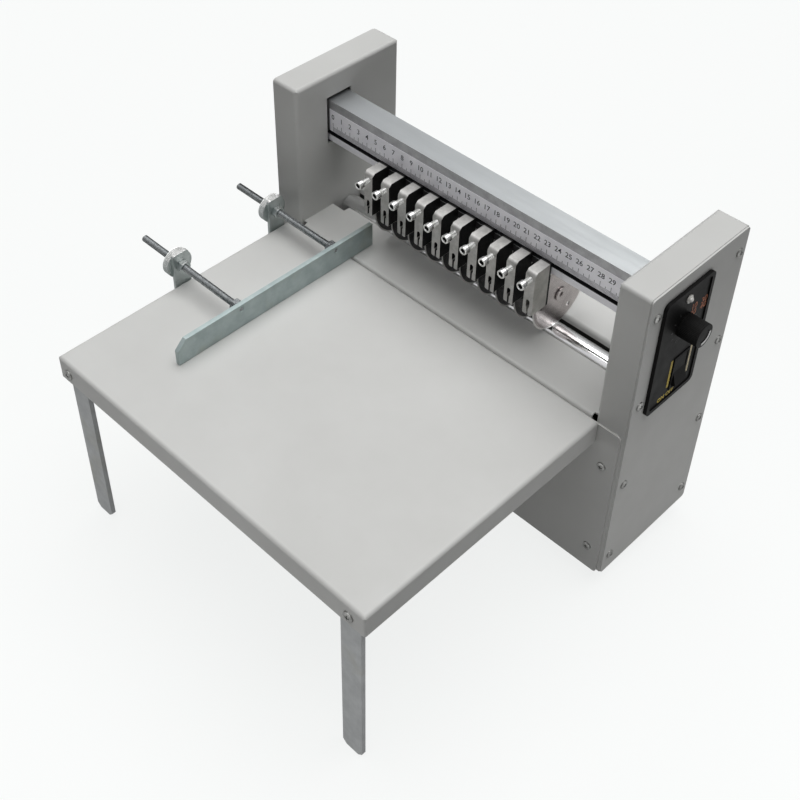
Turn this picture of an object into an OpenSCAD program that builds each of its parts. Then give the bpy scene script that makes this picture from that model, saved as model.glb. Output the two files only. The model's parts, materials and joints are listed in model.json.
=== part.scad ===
// Label cutting machine: round knives on a grooved bar slit a sheet against a driven steel roller.
// Millimetres, +Z up, origin on the floor under the middle of the overall box.

/* [Body] */
// Clear width between the two side housings
inner_w = 322; // [300:1:360]
// Width of each side housing, with its cover
housing_w = 28; // [28:1:36]
// Depth of the side housings, front to back
housing_d = 117; // [112:1:140]
// Height of the body, from its underside to the housing tops
body_h = 297; // [290:1:330]
// Height of the deck's top face above the underside
deck_h = 164.5; // [160:0.5:175]
// Thickness of the body's sheet metal
sheet_t = 1.5; // [1:0.1:2]
// Outer radius of the folded edges
bend_r = 3; // [2.5:0.5:5]
// Height of the lower front and rear panels
panel_h = 161; // [140:1:163]
// Distance of the lower panels' ends from the housings' outer faces
panel_inset = 4; // [2:0.5:8]
// Depth of the downward folds of the deck and the exit plate
deck_fold = 12; // [8:1:16]
// Width of the notches at the deck's rear corners
notch_w = 14; // [8:1:20]
// Depth of the notches at the deck's rear corners
notch_d = 8; // [4:1:12]
// Width of the relief cuts at the deck's front corners
relief_cut = 4; // [2:0.5:6]
// Step of the side covers inside the housings' outline
cover_inset = 0.6; // [0.2:0.1:1.5]
// Width of the housings' inward edge that the covers are screwed to
return_w = 15; // [13:0.5:16]
// Height of the base pan's folded edge
pan_fold = 15; // [10:0.5:20]

/* [Feet] */
// Height of the rubber feet
foot_h = 18; // [10:1:25]
// Diameter of the rubber feet where they meet the body
foot_d = 24; // [18:1:28]
// Diameter of the rubber feet at the floor
foot_tip_d = 20; // [14:1:24]
// Distance of the feet from the edges of the base pan
foot_inset = 33; // [25:1:45]

/* [Frame plates and bar] */
// Thickness of the frame plates inside the housings
plate_t = 8; // [6:0.5:9]
// Gap between a housing's inner wall and its frame plate
plate_gap = 4; // [2:0.5:5]
// Distance of the frame plates from the housings' front and back
plate_margin = 10; // [5:1:14]
// Height of the frame plates
plate_h = 281; // [276:1:285]
// Distance of the knife bar's front face behind the housings' front
bar_front = 36; // [32:1:40]
// Depth of the knife bar
bar_d = 22.5; // [16:0.5:24]
// Height of the knife bar
bar_h = 40; // [36:1:44]
// Height of the knife bar's underside above the deck
bar_over_deck = 69; // [68:0.5:72]
// Height of the lip under the bar's groove
lip_h = 6.3; // [5:0.1:8]
// Height of the bar's groove
groove_h = 4; // [3:0.1:6]
// Depth of the bar's groove
groove_depth = 7; // [5:0.5:9]
// Gap round the bar where it passes through the housing walls
bar_window_gap = 2.5; // [1.5:0.5:8]

/* [Roller and drive] */
// Distance of the roller's axis behind the housings' front
cut_y = 57; // [54:0.5:60]
// Diameter of the anvil roller
roller_d = 20; // [18:0.5:22]
// Height of the roller's top above the deck
roller_proud = 0.5; // [0.2:0.1:1]
// Gap between the roller and the deck's folded edge
slot_gap = 1; // [0.5:0.1:2]
// Gap between the roller and the exit plate's folded edge
exit_gap = 4; // [1:0.5:6]
// Diameter of the roller's journals
journal_d = 12; // [10:1:15]
// Outer diameter of the roller's ball bearings
bearing_d = 28; // [26:1:32]
// Width of the ball bearings
bearing_w = 8; // [6:0.5:9]
// Module of the drive gears
gear_module = 1.5; // [1.3:0.1:1.5]
// Teeth of the gear on the roller
gear_teeth = 40; // [36:2:40]
// Teeth of the motor's pinion
pinion_teeth = 20; // [18:1:24]
// Width of the drive gears
gear_w = 8; // [6:0.5:8.5]
// Width and height of the square gear motor
motor_size = 60; // [50:1:64]
// Length of the motor without its gearbox
motor_l = 72; // [60:1:90]
// Length of the gearbox
gearbox_l = 34; // [28:1:45]
// Drop of the motor's axis below its output shaft
shaft_offset = 10; // [6:0.5:12]
// Diameter of the output shaft
shaft_d = 10; // [8:1:12]
// Depth of the output shaft inside the gearbox
shaft_seat = 12; // [8:0.5:20]

/* [Knives] */
// Number of knives on the bar
knife_count = 10; // [4:1:10]
// Distance of the first knife from the left housing's inner wall
first_knife = 65.5; // [62:0.5:75]
// Distance from knife to knife
knife_pitch = 19; // [17:0.5:21]
// Diameter of the round knives
blade_d = 65; // [60:0.5:65]
// Thickness of the round knives
blade_t = 1; // [0.8:0.1:1.4]
// Width of the ground bevel at the rim of a knife
bevel_w = 4; // [2:0.5:6]
// Thickness left at the rim of a knife
edge_t = 0.1; // [0.05:0.05:0.3]
// Bore of the round knives
blade_bore = 8; // [6:0.5:10]
// Number of holes round the axle of a knife
blade_holes = 3; // [2:1:6]
// Diameter of the holes in a knife
blade_hole_d = 4.5; // [3:0.5:6]
// Distance of the holes in a knife from its axle
blade_hole_r = 22.5; // [15:0.5:24]
// Width of a knife holder along the bar
holder_w = 9; // [8:0.5:11]
// Depth of a knife holder's block in front of the bar
holder_d = 19; // [16:0.5:21]
// Height of a knife holder's block
holder_h = 42; // [38:0.5:44]
// Chamfer at the top front edge of a knife holder
holder_chamfer = 3; // [2:0.5:6]
// Radius of the cheek's round end that carries the axle
cheek_r = 9; // [8:0.5:11]
// Height where the cheek leaves the block, above the block's foot
cheek_h = 24; // [20:0.5:26]
// Diameter of the relief hole at the head of the slit
relief_d = 3.2; // [2.4:0.1:4]
// Height of the relief hole
relief_h = 8; // [6:0.5:10]
// Height of the relief hole's middle above the block's foot
relief_z = 10.5; // [8:0.5:13]
// Diameter of the clamp screw's thread
clamp_d = 5; // [4:0.5:5.5]
// Diameter of the clamp screw's head
clamp_head_d = 8.5; // [7:0.5:9]
// Length of the clamp screw's head
clamp_head_l = 5; // [4:0.5:6]
// Length of the clamp screw between its head and the block
clamp_reach = 7; // [3:0.5:10]
// Diameter of the axle screw's thread
axle_d = 6; // [5:0.5:7]
// Diameter of the axle screw's head
axle_head_d = 12; // [11:0.5:14]
// Thickness of the axle screw's head
axle_head_t = 1.2; // [1:0.1:2]

/* [Feed table] */
// Width of the feed table
table_w = 336; // [330:1:360]
// Overhang of the feed table past the left housing's inner wall
table_over = 10; // [5:1:20]
// Depth of the feed table
table_d = 242; // [200:1:300]
// Depth of the table's folded flange
table_flange = 21; // [18:0.5:30]
// Outer radius of the table's upright corners
table_corner_r = 2; // [2:0.5:10]

/* [Legs] */
// Width of the flat-bar legs
leg_w = 20; // [16:0.5:20]
// Thickness of the flat-bar legs
leg_t = 4; // [3:0.5:5]
// Distance of the left leg's middle from the table's left side
left_leg_inset = 12; // [12:0.5:30]
// Distance of the right leg's middle from the table's right side
right_leg_inset = 15; // [12:0.5:30]
// Depth of the leg screws below the table top
leg_drop = 12; // [12:0.5:13]
// Chamfer at the feet of the legs
leg_chamfer = 4; // [1:0.5:6]

/* [Side guide] */
// Distance of the guide's working face from the left housing's inner wall
guide_x = 64.4; // [40:0.1:70]
// Thickness of the guide bar
guide_t = 4; // [3:0.5:6]
// Height of the guide bar
guide_h = 22; // [20:0.5:28]
// Length of the guide bar in front of the housings
guide_front = 184; // [140:1:195]
// Reach of the guide bar behind the housings' front
guide_back = 23; // [10:0.5:23]
// Chamfer at the guide bar's front corner
guide_chamfer = 8.5; // [4:0.5:12]
// Diameter of the guide's threaded rods
rod_d = 6; // [6:0.5:10]
// Height of the rods above the table
rod_lift = 17.5; // [14:0.5:18]
// Reach of the rods past the left housing's inner wall
rod_reach = 59; // [55:1:80]
// Distance of the front rod in front of the housings
front_rod = 120.5; // [100:0.5:140]
// Distance of the rear rod in front of the housings
rear_rod = 18.6; // [16:0.1:40]
// Width of the upright rod brackets
bracket_w = 16; // [14:0.5:20]
// Thickness of the rod brackets
bracket_t = 3; // [2:0.5:4]
// Height of the rod brackets above the table
bracket_top = 30.5; // [28:0.5:45]
// Diameter of the round thumb nuts
thumb_d = 25; // [20:0.5:28]
// Thickness of the round thumb nuts
thumb_t = 6; // [5:0.5:8]
// Width across the flats of the hex nuts
hex_af = 10; // [10:0.5:16]
// Thickness of the hex nuts
hex_t = 5; // [5:0.5:8]

/* [Controls] */
// Width of the control panel
bezel_w = 58; // [58:0.5:62]
// Height of the control panel
bezel_h = 109; // [106:1:112]
// Distance of the control panel's middle behind the housings' front
bezel_y = 45; // [42:0.5:60]
// Distance of the control panel's middle below the housing tops
bezel_drop = 67.5; // [66:0.5:75]
// Thickness of the control panel outside the cover
bezel_t = 3; // [2.5:0.5:5]
// Depth of the recess in the control panel's face
bezel_recess = 1; // [0.5:0.1:1.5]
// Width of the control panel's raised rim
bezel_rim = 3.5; // [2.5:0.5:5]
// Depth of the controller case inside the cover
case_depth = 10; // [6:0.5:11]
// Diameter of the speed knob
knob_d = 23; // [18:0.5:25]
// Length of the speed knob
knob_h = 17; // [12:0.5:20]
// Height of the knob's axis above the control panel's middle
knob_up = 20; // [18:0.5:22]
// Width of the rocker switch
rocker_w = 14; // [12:0.5:20]
// Height of the rocker switch
rocker_h = 27; // [22:0.5:28]
// Drop of the rocker switch below the control panel's middle
rocker_down = 28.5; // [23:0.5:30]
// Distance of the rocker switch behind the control panel's middle
rocker_back = 7; // [0:0.5:9]
// Diameter of the indicator lamp
lamp_d = 5; // [3:0.5:6]
// Height of the lamp above the control panel's middle
lamp_up = 44; // [42:0.5:45]

/* [Screws] */
// Diameter of the machine screws
screw_d = 4; // [3:0.5:5]
// Diameter of the screws' round heads
screw_head_d = 7.5; // [6:0.5:8]
// Height of the screws' round heads
screw_head_h = 2.2; // [1.5:0.1:3]
// Depth of the screws behind their heads
screw_l = 6; // [5:0.5:8]
// Distance of the cover screws from the housings' front and back
cover_screw_in = 9; // [8:0.5:10]
// Height of the lowest cover screws above the underside
cover_screw_low = 19; // [12:1:24]
// Distance of the highest cover screws below the housing tops
cover_screw_top = 20; // [12:0.5:24]
// Number of cover screws, one above the other
cover_screw_rows = 4; // [3:1:5]
// Distance of the panel screws from the housings' inner walls
panel_screw_in = 12.5; // [10:0.5:14]
// Height of the lower panel screws above the underside
panel_screw_low = 25; // [15:0.5:40]
// Distance of the upper panel screws below the panels' top edges
panel_screw_top = 39.5; // [20:0.5:50]
// Distance of each bracket screw from its bracket's middle
bracket_screw_out = 4.2; // [4:0.1:5]
// Diameter of the bolts that hold the knife bar
bar_bolt_d = 6; // [5:0.5:8]
// Distance of each bar bolt from the bar's middle
bar_bolt_out = 11; // [8:0.5:14]

/* [Power inlet] */
// Distance of the inlet's middle from the right housing's inner wall
inlet_in = 51; // [40:1:120]
// Height of the inlet's middle above the underside
inlet_up = 45; // [30:1:80]
// Width of the inlet's body
inlet_w = 27; // [26:0.5:30]
// Height of the inlet's body
inlet_h = 20; // [19:0.5:24]
// Width of the inlet's flange
inlet_flange_w = 50; // [40:0.5:55]
// Height of the inlet's flange
inlet_flange_h = 28; // [26:0.5:32]
// Thickness of the inlet's flange
inlet_flange_t = 2.5; // [2:0.1:4]
// Depth of the inlet behind the face of its flange
inlet_depth = 20; // [16:0.5:30]

/* [Clearances] */
// Gap between pieces that slide or turn past each other
slide_gap = 0.3; // [0.2:0.05:0.5]
// Radial clearance of a shaft or screw in its hole
shaft_gap = 0.05; // [0.02:0.01:0.1]
// Radial clearance of a machine screw in a sheet
hole_gap = 0.2; // [0.1:0.05:0.4]
// Gap between the flanks of the drive gears
gear_backlash = 0.3; // [0.1:0.05:0.4]

/* [Hidden] */
$fn = 48;
eps = 0.01;
// Overshoot of a cut past the face that it opens
cut = 1;

// Planes of the machine, before it is moved to its origin
xl = -inner_w / 2;
xr = inner_w / 2;
x_out = xr + housing_w;
zu = foot_h;
zd = zu + deck_h;
zt = zu + body_h;
panel_y0 = -sheet_t;
table_y0 = panel_y0 - table_d;
table_x0 = xl - table_over;
table_x1 = table_x0 + table_w;
plate_x = xr + plate_gap;

// Roller, gears and motor
roller_z = zd + roller_proud - roller_d / 2;
gear_r = gear_module * gear_teeth / 2;
pinion_r = gear_module * pinion_teeth / 2;
pinion_z = roller_z - gear_r - pinion_r;
motor_z = pinion_z - shaft_offset;
side_play = 1;
gear_x = plate_x + plate_t + side_play;
journal_end = gear_x + gear_w + side_play;
hub_step = 1;
journal_room = 2;
motor_room = 2;
motor_corner_r = 4;
deck_back = cut_y - roller_d / 2 - slot_gap;
exit_front = cut_y + roller_d / 2 + exit_gap;

// Knives and bar
blade_z = zd + roller_proud + slide_gap + blade_d / 2;
bar_z = zd + bar_over_deck;
groove_z = bar_z + lip_h;
slit_w = blade_t + 2 * slide_gap;
holder_back = bar_front - slide_gap;
holder_front = holder_back - holder_d;
holder_top = groove_z + groove_h - slide_gap;
holder_foot = holder_top - holder_h;
clamp_z = bar_z + lip_h / 2;
leg_round = 1.2;

// Table, legs and guide
leg_z = zd - leg_drop;
leg_screw_d = 1.25 * screw_d;
flange_y = table_y0 + sheet_t;
guide_z = zd + 0.4;
rod_z = zd + rod_lift;
guide_left = xl + guide_x - guide_t;
rod_tip = xl - rod_reach;
bracket_x = table_x0 - bracket_t;
bracket_foot = 19;
rod_places = [-front_rod, -rear_rod];
stud_d = rod_d - 2.5;

// Controls
cover_x = x_out - sheet_t;
bezel_mid_z = zt - bezel_drop;
knob_z = bezel_mid_z + knob_up;
rocker_z = bezel_mid_z - rocker_down;
rocker_y = bezel_y + rocker_back;
lamp_z = bezel_mid_z + lamp_up;
face_x = x_out + bezel_t - bezel_recess;
knob_end = face_x + slide_gap + knob_h;
knob_shaft_d = 6;
pivot_d = 3;
pivot_in = 2;
pivot_x = face_x - pivot_d;
control_seat = case_depth / 2 - 1;
rocker_proud = 4;
case_margin = 4;
case_wall = 2;
case_side = bezel_w / 2 - case_margin;
case_top = bezel_mid_z + bezel_h / 2 - case_margin;
case_foot = rocker_z - rocker_h / 2 - 2 * slide_gap - case_wall;

// Power inlet on the rear panel
inlet_x = xr - inlet_in;
inlet_z = zu + inlet_up;

// Overall box, which sets the origin
x_min = rod_tip;
x_max = knob_end;
y_min = table_y0 - screw_head_h;
y_max = housing_d + sheet_t + inlet_flange_t;
origin_x = (x_min + x_max) / 2;
origin_y = (y_min + y_max) / 2;

cover_screw_ys = [cover_screw_in, housing_d - cover_screw_in];
cover_screw_step = (body_h - cover_screw_low - cover_screw_top) / (cover_screw_rows - 1);
cover_screw_zs = [for (i = [0:cover_screw_rows - 1]) zu + cover_screw_low + i * cover_screw_step];
panel_screw_xs = [xl - panel_screw_in, xr + panel_screw_in];
panel_screw_zs = [zu + panel_screw_low, zu + panel_h - panel_screw_top];
bracket_screw_z = zd - bracket_foot / 2;
bar_bolt_head = 4;
bar_bolt_zs = [bar_z + bar_h / 2 - bar_bolt_out, bar_z + bar_h / 2 + bar_bolt_out];
bar_bolt_y = bar_front + (groove_depth + bar_d) / 2;
leg_xs = [table_x0 + left_leg_inset, table_x1 - right_leg_inset];
foot_xs = [xl + foot_inset, xr - foot_inset];
foot_ys = [foot_inset, housing_d - foot_inset];

function knife_x(i) = xl + first_knife + (i - 1) * knife_pitch;

knife_numbers = [for (i = [1:knife_count]) i];

// Placing and shaping helpers

module placed() {
  translate([-origin_x, -origin_y, 0]) children();
}

// Extrudes an outline drawn in Y and Z along X
module along_x(x, length) {
  translate([x, 0, 0]) rotate([90, 0, 90]) linear_extrude(length) children();
}

// Extrudes an outline drawn in X and Z along Y
module along_y(y, length) {
  translate([0, y + length, 0]) rotate([90, 0, 0]) linear_extrude(length) children();
}

module rod_x(x, y, z, length, d) {
  translate([x, y, z]) rotate([0, 90, 0]) cylinder(h = length, d = d);
}

module rod_y(x, y, z, length, d) {
  translate([x, y, z]) rotate([-90, 0, 0]) cylinder(h = length, d = d);
}

module rounded(x, y, w, h, r) {
  translate([x + r, y]) square([w - 2 * r, h]);
  translate([x, y + r]) square([w, h - 2 * r]);
  for (cx = [x + r, x + w - r], cy = [y + r, y + h - r]) translate([cx, cy]) circle(r);
}

// A block from low corner to high corner whose edges are rounded on all sides but the +X one
module folded_block(lo, size, r) {
  past = 2 * r;
  intersection() {
    along_x(lo.x, size.x) rounded(lo.y, lo.z, size.y, size.z, r);
    along_y(lo.y, size.y) rounded(lo.x, lo.z, size.x + past, size.z, r);
    translate([0, 0, lo.z]) linear_extrude(size.z) rounded(lo.x, lo.y, size.x + past, size.y, r);
  }
}

module hex_prism(x, y, z, length, af) {
  translate([x, y, z]) rotate([0, 90, 0]) cylinder(h = length, d = af / cos(30), $fn = 6);
}

// Body

module base_pan() color("darkgray") placed() {
  difference() {
    translate([xl, 0, zu]) cube([inner_w, housing_d, pan_fold]);
    translate([xl + sheet_t, sheet_t, zu + sheet_t])
      cube([inner_w - 2 * sheet_t, housing_d - 2 * sheet_t, pan_fold]);
  }
}

// The right housing, open towards its cover
module housing_shell() {
  shell_w = housing_w - sheet_t;
  difference() {
    folded_block([xr, 0, zu], [shell_w, housing_d, body_h], bend_r);
    folded_block([xr + sheet_t, sheet_t, zu + sheet_t],
      [shell_w - 2 * sheet_t, housing_d - 2 * sheet_t, body_h - 2 * sheet_t], bend_r - sheet_t);
    along_x(xr + sheet_t, shell_w)
      rounded(return_w, zu + return_w, housing_d - 2 * return_w, body_h - 2 * return_w, bend_r);
    along_x(xr - cut, sheet_t + 2 * cut)
      translate([bar_front - bar_window_gap, bar_z - bar_window_gap])
        square([bar_d + 2 * bar_window_gap, bar_h + 2 * bar_window_gap]);
    rod_x(xr - cut, cut_y, roller_z, sheet_t + 2 * cut, journal_d + 2 * journal_room);
    cover_screw_holes(x_out - 2 * sheet_t);
    panel_screw_holes(0);
    panel_screw_holes(housing_d - sheet_t);
  }
}

module cover_screw_holes(x) {
  for (y = cover_screw_ys, z = cover_screw_zs)
    rod_x(x - cut, y, z, sheet_t + 2 * cut, screw_d + 2 * hole_gap);
}

module panel_screw_holes(y) {
  for (x = panel_screw_xs, z = panel_screw_zs)
    rod_y(x, y - cut, z, sheet_t + 2 * cut, screw_d + 2 * hole_gap);
}

// The gear motor reaches through the left housing's inner wall
module left_housing() color("gainsboro") placed() mirror([1, 0, 0]) difference() {
  housing_shell();
  motor_gap = motor_size / 2 + motor_room;
  translate([xr - cut, cut_y - motor_gap, motor_z - motor_gap])
    cube([sheet_t + 2 * cut, 2 * motor_gap, 2 * motor_gap]);
}

module right_housing() color("gainsboro") placed() housing_shell();

module side_cover() {
  difference() {
    along_x(cover_x, sheet_t)
      rounded(cover_inset, zu + cover_inset, housing_d - 2 * cover_inset, body_h - 2 * cover_inset, bend_r);
    cover_screw_holes(cover_x);
  }
}

module left_cover() color("gainsboro") placed() mirror([1, 0, 0]) side_cover();

module right_cover() color("gainsboro") placed() difference() {
  side_cover();
  translate([cover_x - cut, bezel_y - case_side - slide_gap, case_foot - slide_gap])
    cube([sheet_t + 2 * cut, 2 * (case_side + slide_gap), case_top - case_foot + 2 * slide_gap]);
}

module lower_panel(y) {
  w = inner_w + 2 * (housing_w - panel_inset);
  difference() {
    along_y(y, sheet_t) rounded(-w / 2, zu, w, panel_h, bend_r);
    panel_screw_holes(y);
  }
}

module front_panel() color("gainsboro") placed() lower_panel(panel_y0);

module rear_panel() color("gainsboro") placed() difference() {
  lower_panel(housing_d);
  translate([inlet_x - inlet_w / 2, housing_d - cut, inlet_z - inlet_h / 2])
    cube([inlet_w, sheet_t + 2 * cut, inlet_h]);
}

// A plate from y0 to y1 at deck height, folded down at both long edges
module folded_plate(y0, y1) {
  along_x(xl, inner_w) difference() {
    union() {
      rounded(y0, zd - deck_fold, y1 - y0, deck_fold, bend_r);
      translate([y0, zd - deck_fold]) square([y1 - y0, deck_fold - bend_r]);
    }
    rounded(y0 + sheet_t, zd - deck_fold - bend_r, y1 - y0 - 2 * sheet_t, deck_fold + bend_r - sheet_t,
      bend_r - sheet_t);
  }
}

module deck_plate() color("lightgray") placed() difference() {
  folded_plate(0, deck_back);
  for (x = [xl - cut, xr - notch_w])
    translate([x, deck_back - notch_d, zd - deck_fold - cut])
      cube([notch_w + cut, notch_d + cut, deck_fold + 2 * cut]);
  for (x = [xl, xr])
    translate([x - relief_cut, -cut, zd - deck_fold - cut])
      cube([2 * relief_cut, relief_cut + cut, deck_fold + 2 * cut]);
}

module exit_plate() color("lightgray") placed() folded_plate(exit_front, housing_d);

module rubber_feet() color("dimgray") placed() {
  for (x = foot_xs, y = foot_ys)
    translate([x, y, 0]) cylinder(h = foot_h, d1 = foot_tip_d, d2 = foot_d);
}

// Frame plates and bar

module frame_plate() {
  foot_z = zu + sheet_t;
  depth = housing_d - 2 * plate_margin;
  shoulder = 40;
  difference() {
    along_x(plate_x, plate_t) polygon([
      [plate_margin, foot_z],
      [plate_margin + depth, foot_z],
      [plate_margin + depth, zd + shoulder],
      [bar_front + bar_d + bar_window_gap, zd + shoulder + bar_window_gap],
      [bar_front + bar_d + bar_window_gap, zu + plate_h],
      [bar_front - bar_window_gap, zu + plate_h],
      [bar_front - bar_window_gap, zd + shoulder],
      [plate_margin, zd + shoulder / 2]]);
    rod_x(plate_x - cut, cut_y, roller_z, plate_t + 2 * cut, bearing_d + 2 * shaft_gap);
    bar_bolt_holes();
  }
}

module frame_plates() color("slategray") placed() {
  frame_plate();
  mirror([1, 0, 0]) difference() {
    frame_plate();
    rod_x(plate_x - cut, cut_y, pinion_z, plate_t + 2 * cut, shaft_d + 2 * side_play);
  }
}

// Holes for the bar's bolts, through the right frame plate and into the bar's end
module bar_bolt_holes() {
  depth = 2 * plate_t;
  for (z = bar_bolt_zs)
    rod_x(plate_x - depth, bar_bolt_y, z, depth + plate_t + cut, bar_bolt_d + 2 * shaft_gap);
}

module knife_bar() color("silver") placed() difference() {
  translate([-plate_x, bar_front, bar_z]) cube([2 * plate_x, bar_d, bar_h]);
  translate([-plate_x - cut, bar_front - cut, groove_z])
    cube([2 * (plate_x + cut), groove_depth + cut, groove_h]);
  bar_bolt_holes();
  mirror([1, 0, 0]) bar_bolt_holes();
}

// Roller and drive

// The roller, whose left journal is the longer one and carries the gear
module anvil_roller() color("whitesmoke") placed() {
  right_end = plate_x + plate_t;
  body_end = xr - side_play;
  edge = 0.8;
  translate([0, cut_y, roller_z]) rotate([0, 90, 0]) rotate_extrude() polygon([
    [0, -journal_end],
    [journal_d / 2, -journal_end],
    [journal_d / 2, -body_end],
    [roller_d / 2 - edge, -body_end],
    [roller_d / 2, -body_end + edge],
    [roller_d / 2, body_end - edge],
    [roller_d / 2 - edge, body_end],
    [journal_d / 2, body_end],
    [journal_d / 2, right_end],
    [0, right_end]]);
}

module bearing() {
  seal = 0.6;
  race = 3;
  r0 = journal_d / 2 + shaft_gap;
  r1 = bearing_d / 2;
  half = bearing_w / 2;
  translate([plate_x + plate_t / 2, cut_y, roller_z]) rotate([0, 90, 0]) rotate_extrude() polygon([
    [r0, -half],
    [r0 + race, -half],
    [r0 + race, -half + seal],
    [r1 - race, -half + seal],
    [r1 - race, -half],
    [r1, -half],
    [r1, half],
    [r1 - race, half],
    [r1 - race, half - seal],
    [r0 + race, half - seal],
    [r0 + race, half],
    [r0, half]]);
}

module roller_bearings() color("lightsteelblue") placed() {
  bearing();
  mirror([1, 0, 0]) bearing();
}

// Involute flank: radius and turned angle from the base circle, for a roll angle in degrees
function flank_r(base, roll) = base * sqrt(1 + pow(roll * PI / 180, 2));
function flank_turn(roll) = roll - atan(roll * PI / 180);
function roll_at(base, r) = sqrt(max(0, pow(r / base, 2) - 1)) * 180 / PI;

module gear_outline(teeth, turn) {
  pitch_r = gear_module * teeth / 2;
  base_r = pitch_r * cos(20);
  tip_r = pitch_r + gear_module;
  root_r = pitch_r - 1.25 * gear_module;
  steps = 4;
  roll_tip = roll_at(base_r, tip_r);
  half = 90 / teeth - gear_backlash / pitch_r * 45 / PI + flank_turn(roll_at(base_r, pitch_r));
  rolls = [for (i = [0:steps]) roll_tip * i / steps];
  step = 360 / teeth;
  polygon([for (k = [0:teeth - 1])
    each concat(
      [root_r * [cos(turn + k * step - half), sin(turn + k * step - half)]],
      [for (a = rolls) let (t = turn + k * step - half + flank_turn(a))
        flank_r(base_r, a) * [cos(t), sin(t)]],
      [for (i = [steps:-1:0]) let (a = rolls[i], t = turn + k * step + half - flank_turn(a))
        flank_r(base_r, a) * [cos(t), sin(t)]],
      [root_r * [cos(turn + k * step + half), sin(turn + k * step + half)]])]);
}

module roller_gear() color("goldenrod") placed() mirror([1, 0, 0]) {
  hub_d = 2 * journal_d;
  difference() {
    union() {
      along_x(gear_x + hub_step, gear_w - hub_step)
        translate([cut_y, roller_z]) gear_outline(gear_teeth, 90);
      rod_x(gear_x, cut_y, roller_z, gear_w, hub_d);
    }
    rod_x(gear_x - cut, cut_y, roller_z, gear_w + 2 * cut, journal_d + 2 * shaft_gap);
  }
}

module motor_pinion() color("goldenrod") placed() mirror([1, 0, 0]) {
  along_x(gear_x + hub_step, gear_w - hub_step)
    translate([cut_y, pinion_z]) gear_outline(pinion_teeth, 90 + 180 / pinion_teeth);
  rod_x(plate_x - shaft_seat, cut_y, pinion_z, journal_end - plate_x + shaft_seat, shaft_d);
}

module drive_motor() color("dimgray") placed() mirror([1, 0, 0]) {
  half = motor_size / 2;
  rib = 1;
  ribs = 6;
  box_x = plate_x - gearbox_l;
  difference() {
    union() {
      along_x(box_x, gearbox_l)
        rounded(cut_y - half, motor_z - half, motor_size, motor_size, motor_corner_r);
      along_x(box_x - motor_l, motor_l)
        rounded(cut_y - half + rib, motor_z - half + rib, motor_size - 2 * rib, motor_size - 2 * rib,
          motor_corner_r);
      for (i = [1:ribs])
        along_x(box_x - motor_l * i / ribs, rib)
          rounded(cut_y - half, motor_z - half, motor_size, motor_size, motor_corner_r);
    }
    rod_x(plate_x - shaft_seat - side_play, cut_y, pinion_z, shaft_seat + side_play + cut,
      shaft_d + 2 * shaft_gap);
  }
}

// Knives

module holder_profile() {
  tongue = groove_depth - 0.5;
  difference() {
    union() {
      translate([holder_front, holder_foot]) square([holder_d, holder_h]);
      translate([holder_back - eps, groove_z + slide_gap])
        square([tongue + slide_gap + eps, groove_h - 2 * slide_gap]);
    }
    polygon([
      [holder_front - cut, holder_top + cut],
      [holder_front - cut, holder_top - holder_chamfer - cut],
      [holder_front + holder_chamfer + cut, holder_top + cut]]);
  }
}

module cheek_profile() {
  polygon([
    [holder_back - holder_d / 2, holder_foot],
    [cut_y - cheek_r / 2, blade_z - cheek_r * cos(30)],
    [cut_y, blade_z],
    [cut_y + cheek_r / 2, blade_z + cheek_r * cos(30)],
    [holder_back, holder_foot + cheek_h],
    [holder_back - holder_d / 2, holder_foot + cheek_h]]);
  translate([cut_y, blade_z]) circle(cheek_r);
}

// Front outline of the block, with the outer corners of its two legs rounded
module holder_front_outline() {
  half = holder_w / 2;
  rounded(-half, holder_foot, holder_w, holder_h, leg_round);
  translate([-half, holder_foot + holder_h / 2]) square([holder_w, holder_h / 2]);
}

module knife_holder(i) color("darkgray") placed() translate([knife_x(i), 0, 0]) {
  half = holder_w / 2;
  reach = bar_front + groove_depth - holder_front;
  difference() {
    union() {
      intersection() {
        along_x(-half, holder_w) holder_profile();
        along_y(holder_front, reach) holder_front_outline();
      }
      along_x(-half, half - slit_w / 2) cheek_profile();
    }
    along_x(-slit_w / 2, slit_w) {
      translate([cut_y, blade_z]) circle(blade_d / 2 + 3 * slide_gap);
      translate([holder_front - cut, holder_foot - cut]) square([holder_d + 2 * cut, relief_z + cut]);
    }
    along_y(holder_front - cut, holder_d + 2 * cut)
      rounded(-relief_d / 2, holder_foot + relief_z - relief_h / 2, relief_d, relief_h, relief_d / 2 - eps);
    rod_y(0, holder_front - cut, clamp_z, holder_d + 2 * cut, clamp_d + 2 * shaft_gap);
    rod_x(-half - cut, cut_y, blade_z, holder_w, axle_d + 2 * shaft_gap);
  }
}

module knife_blade(i) color("lightgray") placed() translate([knife_x(i), cut_y, blade_z]) difference() {
  first_hole = -56;
  rotate([0, 90, 0]) rotate_extrude($fn = 96) polygon([
    [blade_bore / 2 + shaft_gap, -blade_t / 2],
    [blade_d / 2 - bevel_w, -blade_t / 2],
    [blade_d / 2, -edge_t / 2],
    [blade_d / 2, edge_t / 2],
    [blade_d / 2 - bevel_w, blade_t / 2],
    [blade_bore / 2 + shaft_gap, blade_t / 2]]);
  for (k = [0:blade_holes - 1]) rotate([first_hole + k * 360 / blade_holes, 0, 0])
    rod_x(-blade_t / 2 - cut, blade_hole_r, 0, blade_t + 2 * cut, blade_hole_d);
}

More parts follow.
